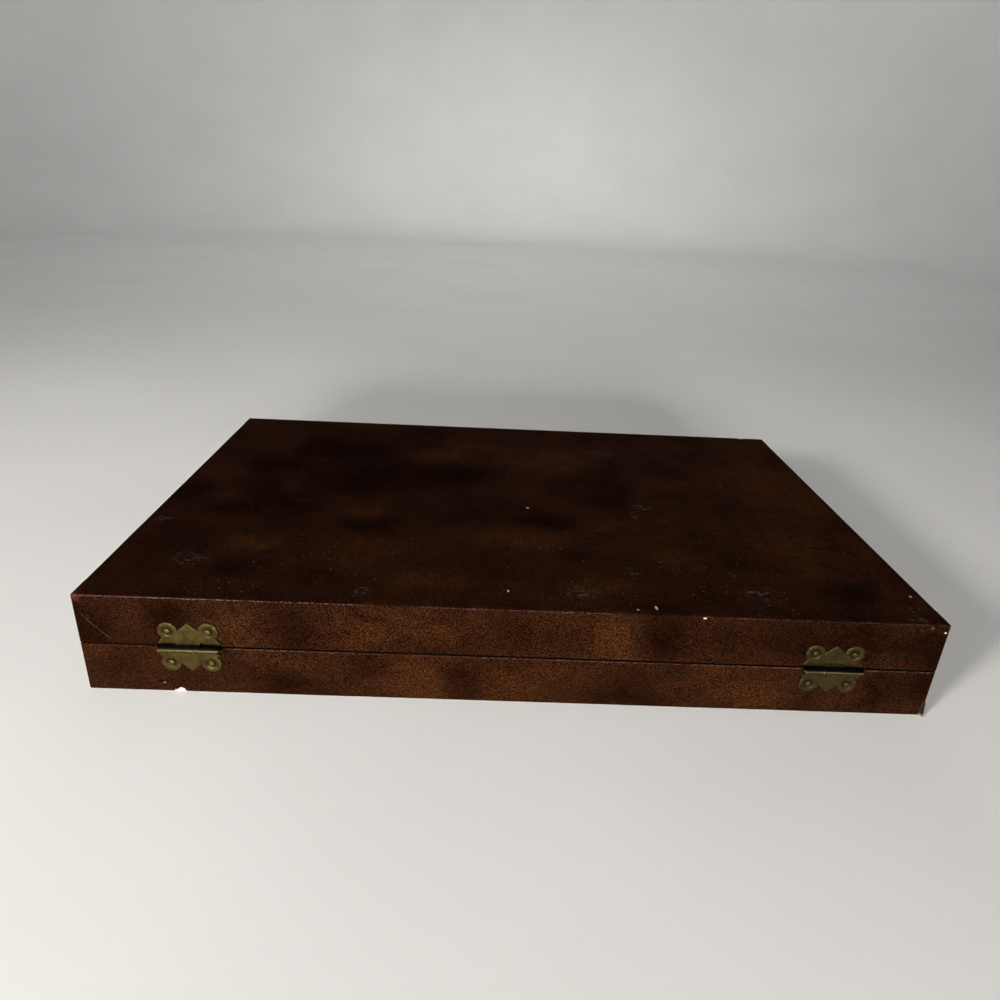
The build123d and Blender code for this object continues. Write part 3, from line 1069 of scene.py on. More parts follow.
@dataclass
class TornFlap:
    """A flap of the covering that has come loose at the base's right corner, hinged side."""

    inner: float = 187.9 * MM
    outer: float = 189.95 * MM
    low: float = 0.4 * MM
    high: float = 7.4 * MM
    lift: float = 1.5 * MM
    fray: float = 0.45 * MM
    thickness: float = 0.35 * MM
    rows: int = 12
    columns: int = 6

    def point(self, up: float, across: float) -> Point:
        """One point of the flap, which curls off the wall, most at its free lower corner.

        Args:
            up: Its share of the flap's height.
            across: Its share of the flap's width.

        Returns:
            The point.
        """
        ragged = noise.noise(Vector((up * 7, across * 5, 2.0))) * self.fray
        curl = self.lift * across ** 1.6 * (1 - up) ** 0.7
        return (self.inner + (self.outer - self.inner) * across - abs(ragged) * across - 0.4 * curl,
                -CASE_WIDTH / 2 - curl,
                self.low + (self.high - self.low) * up + ragged * (1 - up))

    def build(self) -> None:
        """Builds the flap and fits it to the base."""
        points = [self.point(row / self.rows, column / self.columns)
                  for row in range(self.rows + 1) for column in range(self.columns + 1)]
        sheet = raw_mesh("flap", points, band(self.rows + 1, self.columns + 1, False))
        fit("base_covering_flap", thickened("flap", sheet, self.thickness), TornSkin().material(),
            "base", "leatherette", crisp=60.0)


@dataclass
class Carcass:
    """Walls and panels under the covering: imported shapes, dressed as wood and fibreboard."""

    long_wood: Wood = Wood("wall_wood_long")
    short_wood: Wood = Wood("wall_wood_short", grain_along=ALONG_Y)

    def build(self) -> None:
        """Dresses the walls and panels of both halves."""
        along_x, along_y = self.long_wood.material(), self.short_wood.material()
        board = Hardboard().material()
        for half in Half:
            for wall, wood in (("hinge", along_x), ("latch", along_x),
                               ("left", along_y), ("right", along_y)):
                repaint(f"{half.value}_{wall}_wall", wood)
            repaint(half.panel, board)


# Copies


@dataclass
class Repeater:
    """Sets copies of one solid on a list of places with Geometry Nodes."""

    name: str
    solid: Solid
    material: Material
    seed: int = 3

    def tree(self) -> NodeTree:
        """Builds the tree: points with a turn and a size each, a copy on every point."""
        tree = bpy.data.node_groups.new(self.name, "GeometryNodeTree")
        for name, kind in (("Geometry", "Geometry"), ("Copy", "Object"), ("Size", "Float"),
                           ("Spread", "Float"), ("Seed", "Int")):
            tree.interface.new_socket(name, in_out="INPUT", socket_type=f"NodeSocket{kind}")
        tree.interface.new_socket("Geometry", in_out="OUTPUT", socket_type="NodeSocketGeometry")
        given = tree.nodes.new("NodeGroupInput").outputs
        copy = add_node(tree, "GeometryNodeObjectInfo", "Geometry", {"Object": given["Copy"]},
                        transform_space="ORIGINAL")
        turn = add_node(tree, "GeometryNodeInputNamedAttribute", "Attribute", {"Name": "turn"},
                        data_type="FLOAT_VECTOR")
        low, high = (add_node(tree, "ShaderNodeMath", 0, {0: given["Size"], 1: given["Spread"]},
                              operation=operation) for operation in ("SUBTRACT", "ADD"))
        size = add_node(tree, "FunctionNodeRandomValue", 1,
                        {2: low, 3: high, "Seed": given["Seed"]}, data_type="FLOAT")
        placed = add_node(tree, "GeometryNodeInstanceOnPoints", 0,
                          {"Points": given["Geometry"], "Instance": copy, "Rotation": turn,
                           "Scale": size})
        real = add_node(tree, "GeometryNodeRealizeInstances", 0, {0: placed})
        coat = add_node(tree, "GeometryNodeSetMaterial", 0,
                        {"Geometry": real, "Material": self.material})
        tree.links.new(coat, tree.nodes.new("NodeGroupOutput").inputs[0])
        return tree

    def build(self, places: Sequence[Matrix], body: str, slot: str, *nodes: str,
              spread: float = 0.0, crisp: float = 40.0) -> None:
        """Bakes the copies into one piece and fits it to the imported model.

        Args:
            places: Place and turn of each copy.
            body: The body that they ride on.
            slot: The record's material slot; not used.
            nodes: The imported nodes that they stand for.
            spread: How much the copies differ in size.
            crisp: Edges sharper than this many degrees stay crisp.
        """
        copied = cleaned(raw_mesh(f"{self.name}_copy", *self.solid))
        template = bpy.data.objects.new(f"{self.name}_copy", copied)
        mesh = raw_mesh(f"{self.name}_places", [place.translation for place in places])
        turns = mesh.attributes.new("turn", "FLOAT_VECTOR", "POINT")
        for turn, place in zip(turns.data, places):
            turn.vector = place.to_euler()
        carrier = linked(f"{self.name}_places", mesh)
        modifier = carrier.modifiers.new("copies", "NODES")
        modifier.node_group = self.tree()
        given = {"Copy": template, "Size": 1.0, "Spread": spread, "Seed": self.seed}
        for socket in modifier.node_group.interface.items_tree:
            if socket.in_out == "INPUT" and socket.name in given:
                modifier[socket.identifier] = given[socket.name]
        result = baked(carrier, self.name)
        bpy.data.objects.remove(template)
        fit(self.name, result, self.material, body, slot, *nodes, crisp=crisp)


@dataclass
class RoundHeadNail:
    """A round-headed brass nail, its head sunk into a leaf's dimple."""

    radius: float = 1.6 * MM
    seat_height: float = 0.5 * MM
    top: float = 1.6 * MM
    flatness: float = 0.72
    shank: float = 0.65 * MM
    length: float = 6.6 * MM
    tip: float = 1.0 * MM
    steps: int = 28

    def template(self) -> Solid:
        """The nail standing on local z, its head's underside at the origin."""
        rise = self.top - self.seat_height
        profile = [(self.radius * sin(angle), rise * (1 - self.flatness * (1 - cos(angle))))
                   for angle in quarter(8)]
        profile += [(self.radius * 0.97, 0.05 * MM), (self.shank, 0.0),
                    (self.shank, -self.length), (0.0, -self.length - self.tip)]
        return turned_solid(profile, self.steps)

    def drive(self, name: str, body: str, plates: Iterable[Matrix],
              brass: Material) -> None:
        """Drives a nail through each ear of some plates, as one piece.

        Args:
            name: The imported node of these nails.
            body: The body that they are nailed to.
            plates: Where the plates sit.
            brass: The finish.
        """
        ears = [plate @ Matrix.Translation((sign * EAR_OFFSET, EAR_HEIGHT, self.seat_height))
                for plate in plates for sign in (-1, 1)]
        Repeater(f"{name}_domed", self.template(), brass).build(ears, body, "brass", name)


@dataclass
class Stitch:
    """One short stitch: a bowed thread that dips into the leather at both ends."""

    length: float = 2.3 * MM
    radius: float = 0.24 * MM
    rise: float = 0.16 * MM
    sides: int = 6
    rings: tuple[Point, ...] = ((-0.5, 0.35, -0.9), (-0.36, 0.95, -0.1), (0.0, 1.0, 1.0),
                                (0.36, 0.95, -0.1), (0.5, 0.35, -0.9))

    def template(self) -> Solid:
        """The stitch along local x, lying on local z = 0."""
        points = [(place * self.length, y, lift * self.rise + z)
                  for place, share, lift in self.rings
                  for y, z in circle(0, 0, self.radius * share, self.sides)]
        last = (len(self.rings) - 1) * self.sides
        ends = [tuple(range(first, first + self.sides)) for first in (0, last)]
        return np.array(points), band(len(self.rings), self.sides) + ends


# Stamped brass


class StampedPlate:
    """A thin plate cut and embossed from sheet, as a closed solid over local x and y."""

    thickness: float
    rounding: float
    cell: float

    def loops(self) -> list[list[Pair]]:
        """The outlines that together make the plate's shape."""
        raise NotImplementedError

    def dots(self) -> list[Pair]:
        """Points inside the outlines."""
        raise NotImplementedError

    def holed(self, x: float, y: float) -> bool:
        """Whether a place lies in a hole."""
        return False

    def relief(self, x: float, y: float, gap: float) -> float:
        """The height of the outer face at a place and a distance from the nearest edge."""
        inward = max(0.0, self.rounding - gap)
        return self.thickness - self.rounding + sqrt(max(0.0, self.rounding ** 2 - inward ** 2))

    @staticmethod
    def edge_distance(dots: np.ndarray, ends: np.ndarray, batch: int = 400) -> np.ndarray:
        """Distance of each point to the nearest edge.

        Args:
            dots: The points.
            ends: Both ends of each edge.
            batch: How many points are measured at a time.

        Returns:
            The distances.
        """
        start, run = ends[:, 0], ends[:, 1] - ends[:, 0]
        span = (run ** 2).sum(axis=1)
        near = np.empty(len(dots))
        for begin in range(0, len(dots), batch):
            offset = dots[begin:begin + batch, None, :] - start[None]
            share = np.clip((offset * run[None]).sum(axis=2) / span[None], 0, 1)
            gap = offset - share[..., None] * run[None]
            near[begin:begin + batch] = np.sqrt((gap ** 2).sum(axis=2)).min(axis=1)
        return near

    def plate(self) -> Solid:
        """The closed plate, its back on local z = 0."""
        dots, faces = self.dots(), []
        for loop in self.loops():
            faces.append(list(range(len(dots), len(dots) + len(loop))))
            dots += loop
        points, _, triangles, _, _, _ = delaunay_2d_cdt(
            [Vector(dot) for dot in dots], [], faces, 1, 1e-6)
        flat = np.array([tuple(point) for point in points])
        triangles = [tuple(triangle) for triangle in triangles
                     if not self.holed(*flat[list(triangle)].mean(axis=0))]
        sides = {(start, end) for triangle in triangles
                 for start, end in zip(triangle, triangle[1:] + triangle[:1])}
        border = [pair for pair in sorted(sides) if (pair[1], pair[0]) not in sides]
        gaps = self.edge_distance(flat, np.array([[flat[a], flat[b]] for a, b in border]))
        front = [(x, y, self.relief(x, y, gap)) for (x, y), gap in zip(flat, gaps)]
        back = [(x, y, 0.0) for x, y in flat]
        count = len(front)
        solid = triangles + [tuple(count + index for index in reversed(triangle))
                             for triangle in triangles]
        solid += [(start, count + start, count + end, end) for start, end in border]
        return np.array(front + back), solid


@dataclass
class StampedLeaf(StampedPlate):
    """A stamped leaf with two round ears, a pointed peak, dimples and rolled knuckles.

    Local x runs along the barrel, y away from it along the wall, z out from the wall.
    """

    thickness: float = 0.8 * MM
    rounding: float = 0.26 * MM
    cell: float = 0.42 * MM
    edge: float = 1.7 * MM
    foot: float = 13.3 * MM
    foot_height: float = 0.6 * MM
    waist: float = 11.7 * MM
    waist_height: float = 4.4 * MM
    ear_radius: float = 4.3 * MM
    peak_half_width: float = 4.9 * MM
    peak_height: float = 12.4 * MM
    dimple: float = 2.45 * MM
    dimple_wall: float = 0.3 * MM
    dimple_depth: float = 0.26 * MM
    dimple_rings: tuple[float, ...] = (0.0, 0.37, 0.70, 0.82, 0.92, 1.02, 1.15, 1.3, 1.5)
    axis_offset: float = 2.1 * MM
    barrel_radius: float = 1.8 * MM
    strip: float = 0.74 * MM
    web_height: float = 3.3 * MM

    def loops(self) -> list[list[Pair]]:
        """Body, peak and the two ears."""
        right = [(self.foot, self.edge), (self.foot, self.edge + self.foot_height),
                 (self.waist, self.waist_height), (self.waist, EAR_HEIGHT)]
        body = right + [(-x, y) for x, y in reversed(right)]
        peak = [(-self.peak_half_width, EAR_HEIGHT), (self.peak_half_width, EAR_HEIGHT),
                (0.0, self.peak_height)]
        ears = [circle(sign * EAR_OFFSET, EAR_HEIGHT, self.ear_radius, 44) for sign in (-1, 1)]
        return [body, peak, *ears]

    def dots(self) -> list[Pair]:
        """Rings round the dimples and a grid over the rest."""
        found = []
        for sign in (-1, 1):
            for share in self.dimple_rings:
                radius = share * self.dimple
                steps = max(12, round(radius / MM * 13))
                found += circle(sign * EAR_OFFSET, EAR_HEIGHT, radius, steps)
        columns = int(self.foot / self.cell)
        rows = int((self.peak_height - self.edge) / self.cell)
        grid = [(column * self.cell, self.edge + row * self.cell)
                for row in range(rows + 1) for column in range(-columns, columns + 1)]
        return found + [(x, y) for x, y in grid
                        if hypot(abs(x) - EAR_OFFSET, y - EAR_HEIGHT) > 1.6 * self.dimple]

    def relief(self, x: float, y: float, gap: float) -> float:
        """Rounded edges and the sunk dimples."""
        rise = max(0.0, hypot(abs(x) - EAR_OFFSET, y - EAR_HEIGHT) - self.dimple + self.dimple_wall)
        return super().relief(x, y, gap) - self.dimple_depth * max(0.0, 1 - (rise / self.dimple_wall) ** 2)

    def section(self) -> list[Pair]:
        """The rolled edge's section, out from the wall and up it, down its inner side and back."""
        half = self.strip / 2
        mid = self.barrel_radius - half
        line = [(half, self.web_height + 1.2 * MM), (half, self.web_height),
                (half + 0.22 * MM, self.web_height - 0.32 * MM)]
        line += [(self.axis_offset + mid * cos(radians(70 - 14 * step)),
                  mid * sin(radians(70 - 14 * step))) for step in range(24)]
        inner, outer = [], []
        for (out, up), before, after in zip(line, line[:1] + line, line[1:] + line[-1:]):
            run = Vector((after[0] - before[0], after[1] - before[1])).normalized() * half
            inner.append((out + run.y, up - run.x))
            outer.append((out - run.y, up + run.x))
        return inner + outer[::-1]

    def knuckle(self, start: float, end: float, grooves: int = 0) -> Solid:
        """The leaf's edge rolled round the pin.

        Args:
            start: Where the knuckle starts along the barrel.
            end: Where it ends.
            grooves: How many fine grooves run across it.

        Returns:
            Points and faces.
        """
        section = self.section()
        steps = max(4, round((end - start) / (0.3 * MM)))
        spacing = max(2, steps // grooves) if grooves else steps + 2
        points = []
        for step in range(steps + 1):
            trim = 0.06 * MM if step in (0, steps) else 0.0
            trim += 0.08 * MM if step % spacing == 1 else 0.0
            for out, up in section:
                reach = hypot(out - self.axis_offset, up)
                rolled = reach > self.barrel_radius - self.strip / 2 and up < 1.6 * MM
                share = 1 - trim / reach if rolled else 1.0
                points.append((start + (end - start) * step / steps, up * share,
                               self.axis_offset + (out - self.axis_offset) * share))
        size = len(section)
        caps = [tuple(step * size + corner for corner in
                      (index, index + 1, size - 2 - index, size - 1 - index))
                for step in (0, steps) for index in range(size // 2 - 1)]
        return np.array(points), band(steps + 1, size) + caps

    def build(self, node: str, body: str, seat: Matrix, knuckles: Sequence[tuple[float, float, int]],
              brass: Material) -> None:
        """Joins plate and knuckles into one piece at its seat and fits it to its body.

        Args:
            node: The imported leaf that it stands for.
            body: The body that it rides on.
            seat: Its place on the case.
            knuckles: Start, end and number of grooves of each knuckle.
            brass: The finish.
        """
        leaf = joined([self.plate()] + [self.knuckle(*each) for each in knuckles])
        fit(f"{node}_stamped", seated(leaf, seat), brass, body, "brass", node, crisp=50.0)


def drum(radius: float, half: float, bore: float = 0.0, rounding: float = 0.2 * MM) -> list[Pair]:
    """The profile of a short cylinder with rounded rims, bored through or solid."""
    line = [(bore, -half), (radius - rounding, -half), (radius, rounding - half),
            (radius, half - rounding), (radius - rounding, half), (bore, half)]
    return line + line[:1] if bore else line


@dataclass
class HaspStrap(StampedPlate):
    """The swinging hasp: a strap with a round eye, a hole for the stud, and a rolled tip."""

    thickness: float = 0.8 * MM
    rounding: float = 0.24 * MM
    cell: float = 0.5 * MM
    half_width: float = 4.2 * MM
    eye: float = 4.8 * MM
    eye_distance: float = 9.5 * MM
    eye_rings: tuple[float, ...] = (2.35, 2.7, 3.2, 3.8, 4.3)
    hole: float = 2.1 * MM
    line_inset: float = 0.9 * MM
    line_width: float = 0.25 * MM
    line_depth: float = 0.09 * MM
    tip_half_width: float = 2.5 * MM
    tip_distance: float = 14.7 * MM
    tip_radius: float = 1.1 * MM
    knuckle: float = 9.6 * MM
    axis_offset: float = 2.1 * MM
    barrel_radius: float = 1.8 * MM
    bore: float = 1.05 * MM

    def loops(self) -> list[list[Pair]]:
        """Strap, eye, tongue and the hole's edge."""
        strap, tongue = (
            [(-half, low), (half, low), (half, high), (-half, high)]
            for half, low, high in ((self.half_width, self.barrel_radius * 0.8, self.eye_distance),
                                    (self.tip_half_width, self.eye_distance, self.tip_distance)))
        return [strap, tongue, circle(0, self.eye_distance, self.eye, 48),
                circle(0, self.eye_distance, self.hole, 28)]

    def dots(self) -> list[Pair]:
        """Rings round the hole and a grid over the rest."""
        found = []
        for radius in self.eye_rings:
            found += circle(0, self.eye_distance, radius * MM, round(radius * 13))
        columns, rows = int(self.half_width / self.cell), int(self.tip_distance / self.cell)
        grid = [(column * self.cell, row * self.cell)
                for row in range(4, rows) for column in range(-columns, columns + 1)]
        return found + [(x, y) for x, y in grid if hypot(x, y - self.eye_distance) > 4.5 * MM]

    def holed(self, x: float, y: float) -> bool:
        """Inside the stud's hole."""
        return hypot(x, y - self.eye_distance) < self.hole * 0.98

    def relief(self, x: float, y: float, gap: float) -> float:
        """Rounded edges and a shallow line pressed round the strap."""
        line = abs(gap - self.line_inset) / self.line_width
        return super().relief(x, y, gap) - self.line_depth * max(0.0, 1 - line ** 2)

    def build(self, node: str, seat: Matrix, brass: Material) -> None:
        """Joins strap, barrel and rolled tip, and fits the hasp to the body of its own name.

        Args:
            node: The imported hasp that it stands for.
            seat: Its place on the case.
            brass: The finish.
        """
        points, faces = self.plate()
        parts = [(points + np.array((0, 0, self.axis_offset - self.thickness / 2)), faces)]
        for profile, away in ((drum(self.barrel_radius, self.knuckle / 2, self.bore), 0.0),
                              (drum(self.tip_radius, self.tip_half_width), self.tip_distance)):
            parts.append(seated(turned_solid(profile, 32), lying_at((0, away, self.axis_offset))))
        hasp = seated(joined(parts), seat)
        fit(f"{node}_rolled", hasp, brass, node, "brass", node, crisp=50.0)


@dataclass
class Hinges:
    """The two hinges nailed to the outside of the hinged wall."""

    finish: AgedBrass
    barrel: float = 26.0 * MM
    middle: float = 10.0 * MM
    gap: float = 0.2 * MM
    leaf: StampedLeaf = field(default_factory=StampedLeaf)
    nail: RoundHeadNail = field(default_factory=RoundHeadNail)

    def build(self) -> None:
        """Builds the four leaves and the eight nails, and dresses the pins."""
        brass = self.finish.material()
        outer, half_middle = self.barrel / 2, self.middle / 2
        inner = half_middle + self.gap
        knuckles = {Half.LID: [(-half_middle, half_middle, 11)],
                    Half.BASE: [(-outer, -inner, 0), (inner, outer, 0)]}
        for half in Half:
            # The lid's leaves point up and the base's down
            along = (1, 0, 0) if half is Half.LID else (-1, 0, 0)
            seats = [seat_at((side.value * HINGE_SPOT, -CASE_WIDTH / 2, HINGE_AXIS), along, (0, -1, 0))
                     for side in Side]
            for side, seat in zip(Side, seats):
                self.leaf.build(f"hinge_leaf_{half.value}_{side.word}", half.value, seat,
                                knuckles[half], brass)
            self.nail.drive(f"hinge_nails_{half.value}", half.value, seats, brass)
        for side in Side:
            repaint(f"hinge_pin_{side.word}", brass)


@dataclass
class Latches:
    """Two latches on the latch wall: hasps on the base, studs on plates on the lid."""

    finish: AgedBrass
    spot: float = HINGE_SPOT
    hasp_axis: float = 21.3 * MM
    keeper_origin: float = 23.6 * MM
    stud_height: float = 30.8 * MM
    barrel: float = 18.0 * MM
    hasp_knuckle: float = 9.6 * MM
    gap: float = 0.2 * MM
    leaf: StampedLeaf = field(default_factory=StampedLeaf)
    hasp: HaspStrap = field(default_factory=HaspStrap)
    nail: RoundHeadNail = field(default_factory=RoundHeadNail)
    # Radius of each step of the stud and its distance from the wall, in mm
    stud: tuple[Pair, ...] = ((0.0, 0.7), (1.75, 0.7), (1.75, 0.95), (1.2, 1.1), (1.2, 2.7),
                              (1.5, 2.8), (1.6, 3.0), (1.55, 3.3), (1.25, 3.55), (0.7, 3.67),
                              (0.0, 3.7))

    def seats(self, height: float, along: Point = (1, 0, 0)) -> list[Matrix]:
        """Places on the latch wall, one for each latch."""
        return [seat_at((side.value * self.spot, CASE_WIDTH / 2, height), along, (0, 1, 0))
                for side in Side]

    def build(self) -> None:
        """Builds plates, hasps, studs and nails, and dresses the pins."""
        brass = self.finish.material()
        outer, inner = self.barrel / 2, self.hasp_knuckle / 2 + self.gap
        knuckles = [(-outer, -inner, 0), (inner, outer, 0)]
        base_seats, lid_seats = self.seats(self.hasp_axis), self.seats(self.keeper_origin, (-1, 0, 0))
        for side, down, up in zip(Side, base_seats, lid_seats):
            self.leaf.build(f"hasp_plate_{side.word}", "base", down, knuckles, brass)
            self.leaf.build(f"keeper_plate_{side.word}", "lid", up, [], brass)
            self.hasp.build(f"hasp_{side.word}", down, brass)
            repaint(f"hasp_pin_{side.word}", brass)
        self.nail.drive("latch_nails_base", "base", base_seats, brass)
        self.nail.drive("latch_nails_lid", "lid", lid_seats, brass)
        stud = turned_solid([(radius * MM, out * MM) for radius, out in self.stud], 28)
        studs = joined(seated(stud, seat) for seat in self.seats(self.stud_height))
        fit("keeper_studs_turned", studs, brass, "lid", "brass", "keeper_studs", crisp=50.0)


# The playing surface and the pieces


@dataclass
class PlayingSurface:
    """The felt field with its sewn-on points, and the tray along the latch side, of one half."""

    half: Half
    floor: float = 3.8 * MM
    felt: float = 1.0 * MM
    inlay: float = 0.22 * MM
    end: float = 180.4 * MM
    back: float = -115.4 * MM
    rail_face: float = 78.8 * MM
    tray_edge: float = 84.4 * MM
    tray_end: float = 115.4 * MM
    divider: Pair = (69.8 * MM, 74.8 * MM)
    clearance: float = 0.3 * MM
    point_length: float = 150.0 * MM
    point_gap: float = 2.4 * MM
    point_margin: float = 2.0 * MM
    per_end: int = 6
    cell: float = 4.0 * MM
    stitch_pitch: float = 3.4 * MM
    stitch_inset: float = 1.5 * MM
    stitch_sink: float = 0.08 * MM
    nap: float = 0.05 * MM
    felt_edge: float = 0.12 * MM
    # Inset and height of each step of a point's edge, in mm
    section: tuple[Pair, ...] = ((0.0, -0.47), (0.0, -0.12), (0.14, 0.0), (1.1, 0.0), (1.3, -0.1),
                                 (1.7, -0.1), (1.9, 0.0))

    def level(self, height: float) -> float:
        """A height above the outer face, turned over in the lid."""
        return CASE_HEIGHT - height if self.half is Half.LID else height

    def sheet(self, name: str, low: Pair, high: Pair, finish: Material, node: str) -> None:
        """Args:
            name: The sheet's name.
            low: The lower corner of its bay in x and y.
            high: The upper corner.
            finish: The felt.
            node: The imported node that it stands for.
        """
        low = tuple(place + self.clearance for place in low)
        size = tuple(end - self.clearance - start for start, end in zip(low, high))
        columns, rows = (round(span / self.cell) for span in size)
        points = []
        for layer in (1, 0):
            for row in range(rows + 1):
                for column in range(columns + 1):
                    x = low[0] + size[0] * column / columns
                    y = low[1] + size[1] * row / rows
                    nap = self.nap * abs(noise.noise(Vector((x * 300, y * 300, 1.0 + layer))))
                    rounded = self.felt_edge if row in (0, rows) or column in (0, columns) else 0.0
                    height = self.felt - rounded - nap if layer else 0.02 * MM
                    points.append((x, y, self.level(self.floor + height)))
        wide = columns + 1
        count = wide * (rows + 1)
        top = band(rows + 1, wide, False)
        faces = top + [tuple(count + index for index in reversed(face)) for face in top]
        edge = [*range(columns), *range(columns, columns + rows * wide, wide),
                *range(count - 1, count - 1 - columns, -1), *range(rows * wide, 0, -wide)]
        faces += [(start, count + start, count + after, after)
                  for start, after in zip(edge, edge[1:] + edge[:1])]
        piece = fit(name, (points, faces), finish, self.half.value, "field_felt", node, crisp=60.0)

    def triangles(self, first: int) -> list[list[Vector]]:
        """The corners of every second point, base first.

        Args:
            first: 0 or 1, for which of the left end's points come first.

        Returns:
            Three corners each.
        """
        pitch = (self.rail_face - self.back) / self.per_end
        half_base = (pitch - self.point_gap) / 2
        found = []
        for sign in (-1, 1):
            base = sign * (self.end - self.point_margin)
            for count in range(self.per_end):
                if (count + first + (sign > 0)) % 2 == 0:
                    middle = self.back + (count + 0.5) * pitch
                    corners = [Vector((base, middle - half_base)),
                               Vector((base - sign * self.point_length, middle)),
                               Vector((base, middle + half_base))]
                    found.append(corners if sign < 0 else corners[::-1])
        return found

    @staticmethod
    def shrunk(corners: Sequence[Vector], inset: float) -> list[Vector]:
        """A triangle moved inwards by the same distance on every side.

        Args:
            corners: Its corners.
            inset: The distance.

        Returns:
            The new corners.
        """
        sides = [(corners[(index + 1) % 3] - corners[index]) for index in range(3)]
        lengths = [sides[1].length, sides[2].length, sides[0].length]
        around = sum(lengths)
        centre = sum((corner * length for corner, length in zip(corners, lengths)),
                     Vector((0, 0))) / around
        area = abs(sides[0].cross(sides[1])) / 2
        return [corner.lerp(centre, inset / (2 * area / around)) for corner in corners]

    def inlays(self, shade: str, triangles: Iterable[Sequence[Vector]],
               leather: Material) -> None:
        """Makes one colour's points: thin leather with a rounded edge and a pressed line.

        Args:
            shade: The points' shade, as their node and slot have it.
            triangles: The points' corners.
            leather: The finish.
        """
        top = self.floor + self.felt + self.inlay
        points, faces = [], []
        for corners in triangles:
            first = len(points)
            for inset, height in self.section:
                points += [(*corner, self.level(top + height * MM))
                           for corner in self.shrunk(corners, inset * MM)]
            last = len(points) - 3
            faces += band(len(self.section), 3, True, first)
            faces += [(start, start + 1, start + 2) for start in (first, last)]
        node = f"{self.half.value}_points_{shade}"
        fit(f"{node}_sewn", (points, faces), leather, self.half.value, f"{shade}_inlay", node,
            crisp=30.0)

    def stitches(self, triangles: Iterable[Sequence[Vector]], thread: Material) -> None:
        """Sews round every point.

        Args:
            triangles: The points' corners.
            thread: The finish.
        """
        height = self.level(self.floor + self.felt + self.inlay - self.stitch_sink)
        flip = Matrix.Rotation(pi, 4, "X") if self.half is Half.LID else Matrix.Identity(4)
        places = []
        for corners in triangles:
            line = self.shrunk(corners, self.stitch_inset)
            for start, end in zip(line, line[1:] + line[:1]):
                run = end - start
                turn = Matrix.Rotation(atan2(run.y, run.x), 4, "Z")
                count = int(run.length / self.stitch_pitch)
                for step in range(count):
                    spot = start + run * (step + 0.5) / count
                    places.append(Matrix.Translation((*spot, height)) @ turn @ flip)
        rows = Repeater(f"{self.half.value}_point_stitches", Stitch().template(), thread)
        rows.build(places, self.half.value, "light_inlay", spread=0.06)

    def build(self) -> None:
        """Builds felt, points, stitches and linings, and dresses rail and divider."""
        word = self.half.value
        felt = Felt(f"{word}_felt", (0.020, 0.034, 0.020), (0.052, 0.078, 0.046)).material()
        self.sheet(f"{word}_field_felt", (-self.end, self.back), (self.end, self.rail_face), felt,
                   f"{word}_field")
        for name, start, end in (("long", -self.end, self.divider[0]),
                                 ("short", self.divider[1], self.end)):
            self.sheet(f"{word}_tray_felt_{name}", (start, self.tray_edge), (end, self.tray_end),
                       felt, f"{word}_tray_lining")
        dark = Hide(f"{word}_dark_leather", (0.016, 0.007, 0.004), (0.060, 0.022, 0.010))
        light = Hide(f"{word}_light_leather", (0.30, 0.20, 0.105), (0.56, 0.42, 0.25))
        first_dark = 1 if self.half is Half.LID else 0
        dark_places, light_places = self.triangles(first_dark), self.triangles(1 - first_dark)
        self.inlays("dark", dark_places, dark.material())
        self.inlays("light", light_places, light.material())
        thread = Thread(f"{word}_thread", (0.30, 0.22, 0.12), (0.62, 0.50, 0.32))
        self.stitches(dark_places + light_places, thread.material())
        for part, grain in (("rail", ALONG_X), ("divider", ALONG_Y)):
            wood = Wood(f"{word}_{part}_wood", (0.16, 0.052, 0.020), (0.050, 0.016, 0.008), grain, 0.7)
            repaint(f"{word}_tray_{part}", wood.material())


@dataclass
class Checkers:
    """Thirty turned checkers on edge in the base's tray."""

    thickness: float = 8.0 * MM
    pitch: float = 8.3 * MM
    first_face: float = -179.65 * MM
    middle: Pair = (99.9 * MM, 19.1 * MM)
    per_side: int = 15
    spin: float = 37.0
    steps: int = 48
    # Radius and depth below the flat of the face, and radius and height of the groove, in mm
    face: tuple[Pair, ...] = ((0.0, 0.75), (4.2, 0.62), (8.2, 0.42), (8.8, 0.9), (9.5, 0.9),
                              (10.0, 0.12), (10.6, 0.0), (12.6, 0.0), (13.35, 0.18),
                              (13.97, 0.62), (14.25, 1.5))
    groove: tuple[Pair, ...] = ((14.25, 1.1), (13.8, 0.75), (13.8, 0.0))

    def profile(self) -> list[Pair]:
        """The section, with a raised rim, a dished middle and a groove round the edge."""
        upper = [(radius * MM, self.thickness / 2 - depth * MM) for radius, depth in self.face]
        upper += [(radius * MM, height * MM) for radius, height in self.groove]
        return upper + [(radius, -height) for radius, height in upper[-2::-1]]

    def build(self) -> None:
        """Builds the two colours, one row after the other."""
        finishes = (
            CastResin("light_resin", (0.46, 0.33, 0.17), (0.78, 0.66, 0.45), clear=0.1),
            CastResin("dark_resin", (0.012, 0.005, 0.003), (0.095, 0.028, 0.012)),
        )
        for order, (colour, finish) in enumerate(zip(("light", "dark"), finishes)):
            places = []
            for count in range(self.per_side):
                x = self.first_face + (order * self.per_side + count) * self.pitch
                places.append(lying_at((x + self.thickness / 2, *self.middle),
                                       radians(self.spin * count)))
            node = f"checkers_{colour}"
            checker = turned_solid(self.profile(), self.steps)
            rows = Repeater(f"{node}_turned", checker, finish.material())
            rows.build(places, "base", f"{colour}_checker", node, crisp=50.0)


